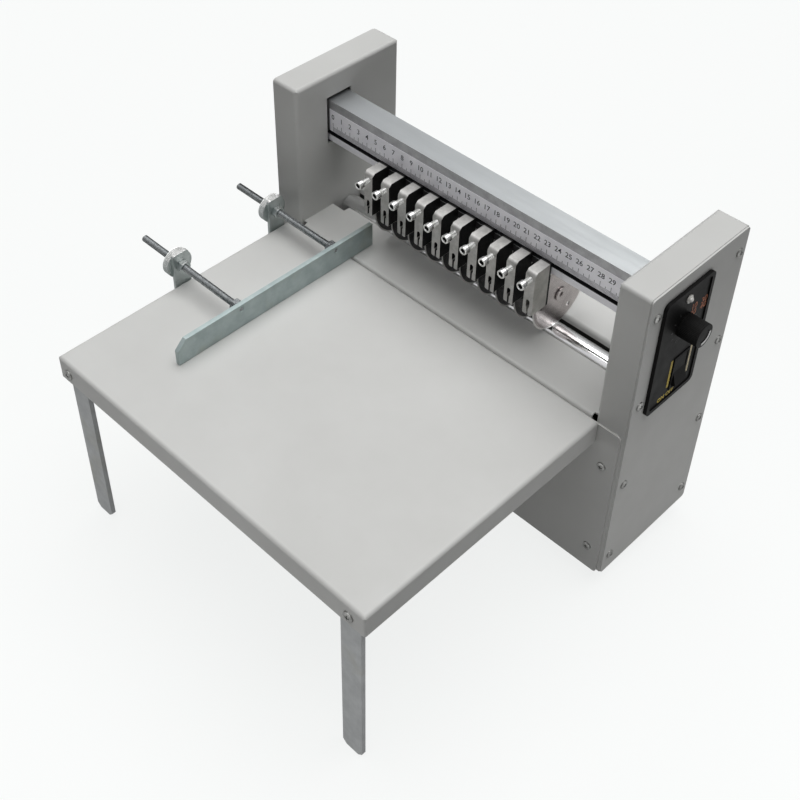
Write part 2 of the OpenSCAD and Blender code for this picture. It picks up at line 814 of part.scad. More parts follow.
// The clamp screw, with its socket, and the shouldered screw that is the knife's axle
module knife_screws(i) color("silver") placed() translate([knife_x(i), 0, 0]) {
  half = holder_w / 2;
  head_y = holder_front - clamp_reach - clamp_head_l;
  socket_depth = clamp_head_l / 2;
  socket_d = 0.9 * clamp_d;
  axle_socket_af = 4;
  tip_gap = slide_gap;
  difference() {
    union() {
      rod_y(0, head_y, clamp_z, clamp_head_l, clamp_head_d);
      rod_y(0, head_y, clamp_z, bar_front - tip_gap - head_y, clamp_d);
    }
    translate([0, head_y - cut, clamp_z]) rotate([-90, 0, 0])
      cylinder(h = socket_depth + cut, d = socket_d, $fn = 6);
  }
  difference() {
    union() {
      rod_x(-half, cut_y, blade_z, half, axle_d);
      rod_x(-slit_w / 2, cut_y, blade_z, slit_w, blade_bore);
      rod_x(slit_w / 2, cut_y, blade_z, axle_head_t, axle_head_d);
    }
    hex_prism(0, cut_y, blade_z, slit_w / 2 + axle_head_t + cut, axle_socket_af);
  }
}

// Feed table, legs and guide

module feed_table() color("lightgray") placed() {
  z0 = zd - table_flange;
  inner_r = table_corner_r - sheet_t;
  difference() {
    intersection() {
      translate([0, 0, z0]) linear_extrude(table_flange)
        rounded(table_x0, table_y0, table_w, table_d, table_corner_r);
      along_x(table_x0, table_w) rounded(table_y0, z0 - bend_r, table_d, table_flange + bend_r, bend_r);
      along_y(table_y0, table_d) rounded(table_x0, z0 - bend_r, table_w, table_flange + bend_r, bend_r);
    }
    translate([0, 0, z0 - cut]) linear_extrude(table_flange + cut - sheet_t)
      rounded(table_x0 + sheet_t, table_y0 + sheet_t, table_w - 2 * sheet_t, table_d - 2 * sheet_t, inner_r);
    for (x = leg_xs) rod_y(x, table_y0 - cut, leg_z, sheet_t + 2 * cut, leg_screw_d + 2 * hole_gap);
    bracket_screw_holes(table_x0, sheet_t);
  }
}

// A flat bar that hangs from its screw, round at the top and chamfered at the foot
module leg(x, y) color("lightsteelblue") placed() difference() {
  along_y(y, leg_t) {
    translate([x, leg_z]) circle(leg_w / 2);
    polygon([
      [x - leg_w / 2, leg_z],
      [x - leg_w / 2, leg_chamfer],
      [x - leg_w / 2 + leg_chamfer, 0],
      [x + leg_w / 2 - leg_chamfer, 0],
      [x + leg_w / 2, leg_chamfer],
      [x + leg_w / 2, leg_z]]);
  }
  rod_y(x, y - cut, leg_z, leg_t + 2 * cut, leg_screw_d + 2 * shaft_gap);
}

// The left leg stands one leg thickness further back, so that both can fold under the table
right_leg_y = flange_y + slide_gap;
left_leg_y = right_leg_y + leg_t + 2 * slide_gap;

module left_leg() leg(leg_xs[0], left_leg_y);

module right_leg() leg(leg_xs[1], right_leg_y);

module side_guide() color("lightsteelblue") placed() difference() {
  along_x(guide_left, guide_t) polygon([
    [-guide_front, guide_z],
    [guide_back, guide_z],
    [guide_back, guide_z + guide_h],
    [-guide_front + guide_chamfer, guide_z + guide_h],
    [-guide_front, guide_z + guide_h - guide_chamfer]]);
  for (y = rod_places)
    rod_x(guide_left - cut, y, rod_z, guide_t + 2 * cut, stud_d + 2 * shaft_gap);
}

// Threaded rods, each with a stud through the guide and a hex nut against it
module guide_rods() color("gray") placed() {
  tip = 1;
  for (y = rod_places) {
    translate([rod_tip, y, rod_z]) rotate([0, 90, 0]) {
      cylinder(h = tip, d1 = rod_d - 2 * tip, d2 = rod_d);
      translate([0, 0, tip]) cylinder(h = guide_left - rod_tip - tip, d = rod_d);
      cylinder(h = guide_left + guide_t - rod_tip, d = stud_d);
    }
    hex_nut(guide_left - hex_t, y);
  }
}

// A hex nut on a guide rod
module hex_nut(x, y) {
  difference() {
    hex_prism(x, y, rod_z, hex_t, hex_af);
    rod_x(x - cut, y, rod_z, hex_t + 2 * cut, rod_d + 2 * shaft_gap);
  }
}

module rod_brackets() color("lightsteelblue") placed() {
  corner = 3;
  for (y = rod_places) difference() {
    along_x(bracket_x, bracket_t)
      rounded(y - bracket_w / 2, zd - bracket_foot, bracket_w, bracket_foot + bracket_top, corner);
    rod_x(bracket_x - cut, y, rod_z, bracket_t + 2 * cut, rod_d + 2 * shaft_gap);
    bracket_screw_holes(bracket_x, bracket_t);
  }
}

// Holes of the screws that hold the brackets on the table's flange
module bracket_screw_holes(x, depth) {
  for (y = rod_places, side = [-1, 1])
    rod_x(x - cut, y + side * bracket_screw_out, bracket_screw_z, depth + 2 * cut, screw_d + 2 * hole_gap);
}

// Outside each bracket a round thumb nut, inside it a hex nut
module rod_nuts() color("silver") placed() {
  collar = 2;
  for (y = rod_places) {
    difference() {
      union() {
        rod_x(bracket_x - thumb_t, y, rod_z, thumb_t, thumb_d);
        rod_x(bracket_x - thumb_t - collar, y, rod_z, collar, thumb_d * 0.6);
      }
      rod_x(bracket_x - thumb_t - collar - cut, y, rod_z, thumb_t + collar + 2 * cut, rod_d + 2 * shaft_gap);
    }
    hex_nut(table_x0, y);
  }
}

// Controls

module control_panel() color("#2a2826") placed() {
  y0 = bezel_y - bezel_w / 2;
  z0 = bezel_mid_z - bezel_h / 2;
  corner = 5;
  rocker_room = 2 * slide_gap;
  difference() {
    union() {
      along_x(x_out, bezel_t) rounded(y0, z0, bezel_w, bezel_h, corner);
      along_x(x_out - case_depth, case_depth + eps)
        translate([bezel_y - case_side, case_foot]) square([2 * case_side, case_top - case_foot]);
    }
    along_x(face_x, bezel_recess + cut)
      rounded(y0 + bezel_rim, z0 + bezel_rim, bezel_w - 2 * bezel_rim, bezel_h - 2 * bezel_rim, corner - 2);
    rod_x(face_x - case_depth / 2, bezel_y, knob_z, case_depth, knob_shaft_d + 2 * shaft_gap);
    rod_x(face_x - case_depth / 2, bezel_y, lamp_z, case_depth, lamp_d + 2 * shaft_gap);
    translate([x_out - case_depth + case_wall, rocker_y - rocker_w / 2 - rocker_room,
      rocker_z - rocker_h / 2 - rocker_room])
      cube([case_depth + bezel_t, rocker_w + 2 * rocker_room, rocker_h + 2 * rocker_room]);
    rod_y(pivot_x, rocker_y - rocker_w / 2 - pivot_in - cut, rocker_z, rocker_w + 2 * (pivot_in + cut),
      pivot_d + 2 * shaft_gap);
  }
}

module speed_knob() color("#1c1b1a") placed() {
  flutes = 18;
  base_x = face_x + slide_gap;
  skirt = 3;
  edge = 1;
  waist_r = knob_d / 2 - 1.2;
  end_r = knob_d / 2 - 1.8;
  flute_r = knob_d / 2 - 0.6;
  flute_d = 2.2;
  difference() {
    translate([base_x, bezel_y, knob_z]) rotate([0, 90, 0]) rotate_extrude() polygon([
      [0, 0],
      [knob_d / 2, 0],
      [knob_d / 2, skirt],
      [waist_r, skirt + edge],
      [end_r, knob_h - edge],
      [end_r - edge, knob_h],
      [0, knob_h]]);
    for (k = [0:flutes - 1])
      translate([base_x, bezel_y, knob_z]) rotate([k * 360 / flutes, 0, 0])
        rod_x(skirt + edge, 0, flute_r, knob_h, flute_d);
  }
  rod_x(face_x - control_seat, bezel_y, knob_z, control_seat + slide_gap + eps, knob_shaft_d);
}

// The rocker stands with its upper half pressed in
module rocker_switch() color("#201f1e") placed() {
  half = rocker_h / 2;
  low = pivot_d + 0.4;
  high = low + rocker_proud;
  along_y(rocker_y - rocker_w / 2, rocker_w) translate([pivot_x, rocker_z]) intersection() {
    circle(half);
    polygon([
      [-pivot_d, -half],
      [high, -half],
      [low, 0],
      [low, half],
      [-pivot_d, half]]);
  }
  rod_y(pivot_x, rocker_y - rocker_w / 2 - pivot_in, rocker_z, rocker_w + 2 * pivot_in, pivot_d);
}

module indicator_lamp() color("whitesmoke") placed() {
  flange_t = 0.8;
  flange_w = 1;
  dome_r = lamp_d / 2 - 0.2;
  rod_x(face_x - control_seat, bezel_y, lamp_z, control_seat + flange_t, lamp_d);
  rod_x(face_x, bezel_y, lamp_z, flange_t, lamp_d + 2 * flange_w);
  translate([face_x + flange_t, bezel_y, lamp_z]) rotate([0, 90, 0])
    rotate_extrude() intersection() {
      circle(dome_r);
      square(lamp_d);
    }
}

module power_inlet() color("#222222") placed() {
  wall = 1.5;
  flange_r = 4;
  mouth_r = 3;
  back_y = housing_d + sheet_t + inlet_flange_t;
  difference() {
    union() {
      along_y(housing_d + sheet_t, inlet_flange_t)
        rounded(inlet_x - inlet_flange_w / 2, inlet_z - inlet_flange_h / 2, inlet_flange_w, inlet_flange_h,
          flange_r);
      along_y(back_y - inlet_depth, inlet_depth - inlet_flange_t + eps)
        translate([inlet_x - inlet_w / 2 + hole_gap, inlet_z - inlet_h / 2 + hole_gap])
          square([inlet_w - 2 * hole_gap, inlet_h - 2 * hole_gap]);
    }
    along_y(back_y - inlet_depth + wall, inlet_depth)
      rounded(inlet_x - inlet_w / 2 + hole_gap + wall, inlet_z - inlet_h / 2 + hole_gap + wall,
        inlet_w - 2 * hole_gap - 2 * wall, inlet_h - 2 * hole_gap - 2 * wall, mouth_r);
  }
}

// Screws

// A round-headed screw along +X whose head sits at x = 0 and points to +X
module round_head_screw(length, d, head_d, head_h) {
  slot = 1;
  difference() {
    union() {
      rotate([0, 90, 0]) rotate_extrude() polygon(concat(
        [[0, 0], [head_d / 2, 0]],
        [for (a = [30:15:90]) [head_d / 2 * cos(a) / cos(30), head_h * (0.55 + 0.45 * (a - 30) / 60)]]));
      rod_x(-length, 0, 0, length, d);
    }
    for (turn = [0, 90]) rotate([turn, 0, 0])
      translate([head_h * 0.45, -head_d / 4, -slot / 2]) cube([head_h, head_d / 2, slot]);
  }
}

module cover_screws() {
  for (y = cover_screw_ys, z = cover_screw_zs)
    translate([x_out, y, z]) round_head_screw(screw_l, screw_d, screw_head_d, screw_head_h);
}

// A leg's screw with its nut, and the spacer behind the flange where the leg stands back
module leg_screw(x, leg_y) {
  nut_t = 4;
  nut_y = leg_y + leg_t + slide_gap;
  nut_af = 8;
  washer_w = 4;
  head_over = 1.5;
  stem = nut_y + nut_t + side_play - table_y0;
  translate([x, table_y0, leg_z]) rotate([0, 0, -90])
    round_head_screw(stem, leg_screw_d, screw_head_d + head_over, screw_head_h);
  difference() {
    translate([x, nut_y, leg_z]) rotate([-90, 0, 0]) cylinder(h = nut_t, d = nut_af / cos(30), $fn = 6);
    rod_y(x, nut_y - cut, leg_z, nut_t + 2 * cut, leg_screw_d + 2 * shaft_gap);
  }
  spacer = leg_y - slide_gap - flange_y;
  if (spacer > slide_gap) difference() {
    rod_y(x, flange_y, leg_z, spacer, leg_screw_d + 2 * washer_w);
    rod_y(x, flange_y - cut, leg_z, spacer + 2 * cut, leg_screw_d + 2 * shaft_gap);
  }
}

module bracket_screws() {
  for (y = rod_places, side = [-1, 1])
    translate([bracket_x, y + side * bracket_screw_out, bracket_screw_z]) mirror([1, 0, 0])
      round_head_screw(screw_l, screw_d, screw_head_d, screw_head_h);
}

// The bolts through the right frame plate into the knife bar's end
module bar_bolts() {
  depth = plate_t + bar_bolt_d;
  for (z = bar_bolt_zs) {
    rod_x(plate_x + plate_t, bar_bolt_y, z, bar_bolt_head, 1.6 * bar_bolt_d);
    rod_x(plate_x + plate_t - depth, bar_bolt_y, z, depth + eps, bar_bolt_d);
  }
}

module machine_screws() color("silver") placed() {
  cover_screws();
  bar_bolts();
  mirror([1, 0, 0]) {
    cover_screws();
    bar_bolts();
  }
  bracket_screws();
  for (x = panel_screw_xs, z = panel_screw_zs) {
    translate([x, panel_y0, z]) rotate([0, 0, -90])
      round_head_screw(screw_l, screw_d, screw_head_d, screw_head_h);
    translate([x, housing_d + sheet_t, z]) rotate([0, 0, 90])
      round_head_screw(screw_l, screw_d, screw_head_d, screw_head_h);
  }
  leg_screw(leg_xs[0], left_leg_y);
  leg_screw(leg_xs[1], right_leg_y);
}

base_pan();
left_housing();
right_housing();
left_cover();
right_cover();
front_panel();
rear_panel();
deck_plate();
exit_plate();
frame_plates();
knife_bar();
anvil_roller();
roller_bearings();
roller_gear();
drive_motor();
motor_pinion();
control_panel();
speed_knob();
rocker_switch();
indicator_lamp();
power_inlet();
feed_table();
left_leg();
right_leg();
side_guide();
guide_rods();
rod_brackets();
rod_nuts();
rubber_feet();
machine_screws();
for (i = knife_numbers) {
  knife_holder(i);
  knife_blade(i);
  knife_screws(i);
}
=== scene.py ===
"""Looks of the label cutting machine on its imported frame: finishes, ruler, threads, knives and controls."""
import json
import math

import bpy
from mathutils import Matrix, Vector


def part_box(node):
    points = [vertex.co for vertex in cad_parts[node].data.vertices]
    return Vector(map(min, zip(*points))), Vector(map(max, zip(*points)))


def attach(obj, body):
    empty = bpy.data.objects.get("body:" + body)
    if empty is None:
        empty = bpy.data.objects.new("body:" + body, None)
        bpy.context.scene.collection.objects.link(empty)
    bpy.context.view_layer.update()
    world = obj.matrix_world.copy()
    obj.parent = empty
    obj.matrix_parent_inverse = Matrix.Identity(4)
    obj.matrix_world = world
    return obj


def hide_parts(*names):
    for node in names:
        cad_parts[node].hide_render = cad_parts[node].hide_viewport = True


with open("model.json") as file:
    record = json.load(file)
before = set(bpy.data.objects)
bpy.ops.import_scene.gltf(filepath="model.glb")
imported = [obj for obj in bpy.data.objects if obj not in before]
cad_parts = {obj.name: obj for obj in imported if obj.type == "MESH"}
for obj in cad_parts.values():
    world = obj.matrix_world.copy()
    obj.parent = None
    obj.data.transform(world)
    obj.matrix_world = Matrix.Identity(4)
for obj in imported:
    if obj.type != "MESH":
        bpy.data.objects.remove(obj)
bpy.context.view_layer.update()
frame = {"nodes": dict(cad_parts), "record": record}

MM = 0.001
KNIVES = range(1, 1 + sum(node.startswith("knife_blade_") for node in frame["nodes"]))
SLOT_OF = {entry["node"]: entry["material_slot"] for entry in frame["record"]["subparts"]}

# Finishes by name, and the nodes whose finish isn't that of their slot
FINISH = {}
# The exit plate carries a painted shade band along its slot by the roller
OWN_FINISH = {"machine_screws": "dull_screw", "exit_plate": "exit_coat_painted_slot_shade"}
# Painted shade: all knives but the last are dark, as if shaded by their neighbouring holders
OWN_FINISH |= {f"knife_blade_{k}": "painted_shade_blade" for k in KNIVES[:-1]}

# Limits for a face's normal: looking along an axis, squarely along it, across it, or upward
ALONG = 0.9
SQUARE = 0.95
ACROSS = 0.1
UPWARD = 0.6

# Modelling: turns of a piece that is made along Z, sides of round pieces, and angles in degrees
AXIS_TURN = {"X": (0, math.pi / 2, 0), "Y": (math.pi / 2, 0, 0)}
HEX_SIDES = 6
HEX_CORNER = 1 / math.cos(math.pi / HEX_SIDES)
ROUND_SIDES = 32
FINE_SIDES = 48
EASE_ANGLE = 35
ROUND_EASE_ANGLE = 60
SMOOTH_ANGLE = 50
ROUND_SMOOTH_ANGLE = 40
FLAT_ANGLE = 0.5
MERGE = 1e-6

# Camera, solved from the ruler and the corners in the photograph
CAMERA_AT = (0.51415, -0.51785, 0.8905)
CAMERA_AZIMUTH = math.radians(43.38)
CAMERA_ELEVATION = math.radians(42.06)
CAMERA_ROLL = math.radians(1.38)
CAMERA_LENS = 58.79
CAMERA_SENSOR = 36
CAMERA_SHIFT = (-0.0014, -0.125)
CAMERA_NEAR = 0.01

# Light and stage
FLOOR_SIZE = 9.0
FLOOR_GREY = 0.13
FLOOR_TINT = (0.985, 1, 0.992)
FLOOR_GLOW = 0.84
FLOOR_GLOW_IN_GLOSS = 0.35
SKY_TINT = (0.98, 0.99, 1)
SKY_GREY = 0.055
SKY_SEEN = 0.91
SKY_IN_GLOSS = (0.15, 0.75)
SKY_FULL_FROM = 0.7
SUN_STRENGTH = 2.82
SUN_SPREAD = math.radians(66)
SUN_FROM_BEHIND = math.radians(8)
SIDE_LIGHT_AT = (0.5, 0.16, 0.1)
SIDE_LIGHT_SIZE = (0.2, 0.3)
SIDE_LIGHT_POWER = 0.175
FRONT_LIGHT_AT = (0.15, -0.6, 0.05)
FRONT_LIGHT_SIZE = (1.0, 0.1)
FRONT_LIGHT_POWER = 0.8

# Painted shade: a dark band on the exit plate along the slot by the roller, dark seats of the holders where
# they meet the bar, and the soft ends of the dark band painted on the bar's lip
SLOT_SHADE_WIDTH = 6.5 * MM
SLOT_SHADE_SOFT = 0.8 * MM
SEAT_SHADE_WIDTH = 2.8 * MM
SEAT_SHADE_SOFT = 0.6 * MM
LIP_SHADE_SOFT = 1 * MM

# Knife bar and its groove, with heights above the bar's underside
BAR_EDGE = 0.4 * MM
GROOVE_LOW = 5.5 * MM
GROOVE_HIGH = 11 * MM
GROOVE_SKIN = 0.6 * MM
GROOVE_DEPTH = 7 * MM

# Ruler on the knife bar, with heights above the bar's underside
RULER_LOW = 10.8 * MM
RULER_HIGH = 31.9 * MM
RULER_THICK = 0.35 * MM
RULER_EDGE = 0.1 * MM
RULER_END_GAP = 0.6 * MM
RULER_ZERO = 4.7 * MM
RULER_STEP = 10 * MM
RULER_MARKS_PER_STEP = 10
RULER_MARK_WIDTH = 0.36 * MM
RULER_MARK_LIFT = 0.3 * MM
RULER_MARK_LENGTHS = {0: 8.6 * MM, 5: 6.6 * MM}
RULER_MARK_SHORT = 4.6 * MM
RULER_NUMBER_AT = 25.1 * MM
RULER_NUMBER_SIZE = 6.6 * MM
RULER_NUMBER_BOLD = 0.05 * MM
INK_THICK = 0.04 * MM

# Side guide, legs, rods and nuts
GUIDE_EDGE = 0.4 * MM
LEG_EDGE = 0.4 * MM
BRACKET_EDGE = 0.35 * MM
ROD_RADIUS = 3 * MM
ROD_PITCH = 1 * MM
ROD_THREAD_DEPTH = 0.45 * MM
ROD_THREAD_STEPS = 14
ROD_END_INSET = 0.2 * MM
ROD_CLEARANCE = 0.05 * MM
STUD_RADIUS = 1.75 * MM
STUD_BELOW_FACE = 0.6 * MM
STUD_EDGE = 0.3 * MM
SINK_RADIUS = 3.4 * MM
SINK_DEPTH = 1.5 * MM
SINK_PROUD = 0.1 * MM
NUT_THICK = 5 * MM
NUT_ACROSS = 10 * MM
NUT_TURNED_RADIUS = 5.65 * MM
NUT_TURNED_EDGE = 0.7 * MM
THUMB_THICK = 6 * MM
THUMB_COLLAR = 2 * MM
THUMB_COLLAR_INSET = 0.4
THUMB_SIDES = 72
THUMB_EDGE = 0.35 * MM
KNURL_RIM = 0.22 * MM
KNURL_DEPTH = 0.3 * MM

# Knife holders, their screws and the knives
HOLDER_EDGE = 0.35 * MM
HOLDER_EASE_ANGLE = 50
CLAMP_HEAD_LENGTH = 5 * MM
CLAMP_HEAD_RADIUS = 3.6 * MM
CLAMP_HEAD_EDGE = 0.5 * MM
CLAMP_HEAD_SIDES = 40
CLAMP_CAD_RADIUS = 4.25 * MM
CLAMP_SHANK_RADIUS = 2.5 * MM
CLAMP_SHANK_LAP = 0.05 * MM
CLAMP_TIP_GAP = 0.3 * MM
CLAMP_SOCKET_ACROSS = 4 * MM
CLAMP_SOCKET_INSET = 0.6 * MM
CLAMP_SOCKET_REACH = 0.7
SCREW_PITCH = 0.8 * MM
SCREW_THREAD_DEPTH = 0.45 * MM
SCREW_THREAD_STEPS = 12
AXLE_HEAD_RADIUS = 6 * MM
AXLE_HEAD_THICK = 1.2 * MM
AXLE_HEAD_EDGE = 0.25 * MM
AXLE_SOCKET_ACROSS = 4 * MM
KNIFE_SLIT_HALF = 0.8 * MM
# Radius beyond which a knife's rim is pale, partly its ground edge and partly painted highlight
BLADE_GRIND_RADIUS = 31 * MM
BLADE_GRIND_SOFT = 0.4 * MM

# Control panel
PANEL_RECESS = 1 * MM
PRINT_THICK = 0.12 * MM
KNOB_FLUTES = 54
KNOB_FLUTE_RIM = 0.16 * MM
KNOB_FLUTE_DEPTH = 0.3 * MM
KNOB_EDGE = 0.25 * MM
KNOB_SKIRT_WIDTH = 1.8 * MM
KNOB_SKIRT_THICK = 3 * MM
KNOB_SKIRT_EDGE = 0.6 * MM
KNOB_SKIRT_SIDES = 72
KNOB_RIM_WIDTH = 1.6 * MM
KNOB_RING_WIDTH = 2.4 * MM
KNOB_SINK_EDGE = 0.2 * MM
KNOB_SINK_DEPTH = 0.5 * MM
# Painted highlight on the knob's end: its direction, reach and the depth of faces it covers
KNOB_HIGHLIGHT_ANGLE = math.radians(-50)
KNOB_HIGHLIGHT_REACH = 0.72
KNOB_HIGHLIGHT_SKIN = 0.3 * MM
DIAL_MARKS = 11
DIAL_END = 150
DIAL_STEP = 30
DIAL_MARK_HALF = 0.3 * MM
DIAL_MARK_LENGTH = 2.4 * MM
DIAL_MARK_GAP = 1.5 * MM
DIAL_NUMBER_SIZE = 7.5 * MM
DIAL_NUMBER_BOLD = 0.12 * MM
DIAL_COLUMNS = (9.5 * MM, 22 * MM)
DIAL_NUMBERS = (
    ("10", DIAL_COLUMNS[0], 11 * MM),
    ("20", DIAL_COLUMNS[0], 5 * MM),
    ("30", DIAL_COLUMNS[1], 10 * MM),
    ("40", DIAL_COLUMNS[1], 4 * MM),
)
SWITCH_OPENING = (15.2 * MM, 28.2 * MM)
SWITCH_FRAME = 2 * MM
SWITCH_FRAME_THICK = 0.9 * MM
SWITCH_FRAME_EDGE = 0.3 * MM
SWITCH_CUT = 1 * MM
SWITCH_BAR_AT = 12 * MM
SWITCH_BAR_HALF = 1.2 * MM
SWITCH_BAR_LIFT = 2 * MM
SWITCH_BAR_EDGE = 0.05 * MM
SWITCH_WORDS_SIZE = 5.6 * MM
SWITCH_WORDS_BOLD = 0.15 * MM
SWITCH_WORDS_DOWN = 6 * MM

# Pins of the power inlet
PIN_PLACES = ((-7 * MM, -2 * MM), (0, 2 * MM), (7 * MM, -2 * MM))
PIN_HALF_WIDTH = 1 * MM
PIN_HALF_HEIGHT = 2 * MM
PIN_FRONT_INSET = 1.4 * MM
PIN_BACK_INSET = 4 * MM
PIN_EDGE = 0.4 * MM


# Node materials

def new_finish(name, colour, roughness, metallic=0.0):
    """A material with one shader; colour is linear."""
    material = bpy.data.materials.new(name)
    material.use_nodes = True
    shader = material.node_tree.nodes["Principled BSDF"]
    shader.inputs["Base Color"].default_value = (*colour, 1)
    shader.inputs["Roughness"].default_value = roughness
    shader.inputs["Metallic"].default_value = metallic
    return material, shader


def object_pattern(material, scale=(1, 1, 1), centre=(0, 0, 0)):
    """Object coordinates, centred on a point and stretched along each axis."""
    nodes, links = material.node_tree.nodes, material.node_tree.links
    coordinates = nodes.new("ShaderNodeTexCoord")
    mapping = nodes.new("ShaderNodeMapping")
    mapping.inputs["Scale"].default_value = scale
    mapping.inputs["Location"].default_value = [-c * s for c, s in zip(centre, scale)]
    links.new(coordinates.outputs["Object"], mapping.inputs["Vector"])
    return mapping.outputs["Vector"]


def noise(material, vector, scale, detail=3.0, roughness=0.55):
    node = material.node_tree.nodes.new("ShaderNodeTexNoise")
    node.inputs["Scale"].default_value = scale
    node.inputs["Detail"].default_value = detail
    node.inputs["Roughness"].default_value = roughness
    material.node_tree.links.new(vector, node.inputs["Vector"])
    return node.outputs["Fac"]


def rings(material, vector, scale, distortion):
    """Circles round the X axis, as a grinding tool leaves them."""
    node = material.node_tree.nodes.new("ShaderNodeTexWave")
    node.wave_type = "RINGS"
    node.rings_direction = "X"
    node.inputs["Scale"].default_value = scale
    node.inputs["Distortion"].default_value = distortion
    node.inputs["Detail"].default_value = 2.0
    material.node_tree.links.new(vector, node.inputs["Vector"])
    return node.outputs["Fac"]


def reach(material, vector):
    """Distance from the centre of a pattern."""
    node = material.node_tree.nodes.new("ShaderNodeVectorMath")
    node.operation = "LENGTH"
    material.node_tree.links.new(vector, node.inputs[0])
    return node.outputs["Value"]


def spread(material, factor, low, high, from_low=0.3, from_high=0.7):
    """Maps a pattern's usual span to a span of values."""
    node = material.node_tree.nodes.new("ShaderNodeMapRange")
    node.inputs["From Min"].default_value = from_low
    node.inputs["From Max"].default_value = from_high
    node.inputs["To Min"].default_value = low
    node.inputs["To Max"].default_value = high
    material.node_tree.links.new(factor, node.inputs["Value"])
    return node.outputs["Result"]


def within(material, distance, width, soft):
    """One up to a distance, zero beyond it, with a soft edge."""
    return spread(material, distance, 1, 0, width - soft, width)


def two_tones(material, factor, dark, light, dark_at=0.35, light_at=0.65):
    node = material.node_tree.nodes.new("ShaderNodeValToRGB")
    first, last = node.color_ramp.elements
    first.position, first.color = dark_at, (*dark, 1)
    last.position, last.color = light_at, (*light, 1)
    material.node_tree.links.new(factor, node.inputs["Fac"])
    return node.outputs["Color"]


def stained(material, colour, stain, factor):
    """Lays a colour over another one: a real stain, or painted shade or light."""
    node = material.node_tree.nodes.new("ShaderNodeMix")
    node.data_type = "RGBA"
    material.node_tree.links.new(factor, node.inputs["Factor"])
    material.node_tree.links.new(colour, node.inputs["A"])
    node.inputs["B"].default_value = (*stain, 1)
    return node.outputs["Result"]


def colour_by(material, shader, colour):
    material.node_tree.links.new(colour, shader.inputs["Base Color"])


def gloss_by(material, shader, roughness):
    material.node_tree.links.new(roughness, shader.inputs["Roughness"])


def grain_by(material, shader, height, strength, distance):
    node = material.node_tree.nodes.new("ShaderNodeBump")
    node.inputs["Strength"].default_value = strength
    node.inputs["Distance"].default_value = distance
    material.node_tree.links.new(height, node.inputs["Height"])
    material.node_tree.links.new(node.outputs["Normal"], shader.inputs["Normal"])


def patchy(name, dark, light, patches, roughness, metallic=0.0, gloss=None, grain=None, over=None):
    """A finish with two tones in patches.

    Patches, and the first entries of gloss and grain, are a noise's scale and detail. Gloss goes on with its
    low and high roughness, grain with its strength and distance. Over is a function that lays another colour
    over the colour.
    """
    material, shader = new_finish(name, light, roughness, metallic)
    place = object_pattern(material)
    colour = two_tones(material, noise(material, place, *patches), dark, light)
    colour_by(material, shader, over(material, colour) if over else colour)
    if gloss:
        fine, low, high = gloss
        gloss_by(material, shader, spread(material, noise(material, place, *fine), low, high))
    if grain:
        fine, strength, distance = grain
        grain_by(material, shader, noise(material, place, *fine), strength, distance)
    return material, shader


# Finishes of the sheet metal, rods and nuts

def powder_coat(name, slot_edge=None):
    """Warm light grey powder coat, clouded, rubbed in spots and, if asked, darkened with painted shade along
    the edge of a slot.
    """
    material, shader = new_finish(name, (0.6, 0.6, 0.585), 0.5)
    place = object_pattern(material)
    clouds = noise(material, place, 9, 4)
    colour = two_tones(material, clouds, (0.575, 0.576, 0.56), (0.615, 0.617, 0.602))
    rubbed = spread(material, noise(material, place, 42, 6, 0.7), 0, 0.5, 0.66, 0.8)
    colour = stained(material, colour, (0.52, 0.515, 0.49), rubbed)
    # Painted shade: a near-black band along the slot's edge stands for the shadowed slot between plate and
    # roller
    if slot_edge:
        away = reach(material, object_pattern(material, (0, 1, 1), slot_edge))
        dark = within(material, away, SLOT_SHADE_WIDTH, SLOT_SHADE_SOFT)
        colour = stained(material, colour, (0.02, 0.02, 0.018), dark)
    colour_by(material, shader, colour)
    gloss_by(material, shader, spread(material, noise(material, place, 60, 3), 0.42, 0.56))
    grain_by(material, shader, noise(material, place, 1500, 2), 0.12, 0.0002)
    return material


def zinc_plate(name, dark, light, metallic, streak_scale):
    """Zinc plating: rolling streaks along the bar, a mottled passivation and a faint yellow stain."""
    material, shader = new_finish(name, light, 0.42, metallic)
    place = object_pattern(material)
    streaks = noise(material, object_pattern(material, streak_scale), 1, 3)
    mottle = noise(material, place, 75, 5, 0.65)
    colour = two_tones(material, mottle, dark, light)
    stain = spread(material, noise(material, place, 21, 4), 0, 0.5, 0.56, 0.76)
    colour_by(material, shader, stained(material, colour, (0.38, 0.37, 0.27), stain))
    gloss_by(material, shader, spread(material, streaks, 0.34, 0.52))
    grain_by(material, shader, streaks, 0.08, 0.0003)
    return material


def rod_zinc():
    """Dark plated thread of greased grey steel."""
    material, _ = patchy("rod_zinc", (0.22, 0.23, 0.235), (0.36, 0.375, 0.38), (600, 3), 0.3, 1.0,
                         gloss=((700, 2), 0.2, 0.34))
    return material


def nut_zinc():
    """Bright zinc of the nuts and brackets, with a bluish passivation."""
    material, _ = patchy("nut_zinc", (0.4, 0.44, 0.435), (0.48, 0.52, 0.515), (120, 4), 0.3, 0.9,
                         gloss=((300, 3), 0.27, 0.35))
    return material


def plated_screw():
    """Bright plated screws with small dull spots."""
    material, _ = patchy("plated_screw", (0.6, 0.6, 0.58), (0.82, 0.82, 0.81), (420, 4), 0.26, 1.0,
                         gloss=((800, 3), 0.18, 0.36))
    return material


def dull_screw():
    """Dull plated heads of the cover screws, finely mottled."""
    material, _ = patchy("dull_screw", (0.26, 0.26, 0.25), (0.44, 0.44, 0.43), (500, 4), 0.4, 1.0,
                         gloss=((800, 3), 0.3, 0.5))
    return material


def machined_steel(name, colour, roughness, over=None):
    """Plain machined steel, with another colour laid over it if one is given."""
    dark = [c * 0.8 for c in colour]
    material, _ = patchy(name, dark, colour, (120, 4), roughness, 1.0,
                         gloss=((500, 3), roughness - 0.08, roughness + 0.1), over=over)
    return material


# Finishes of the bar, roller and knives

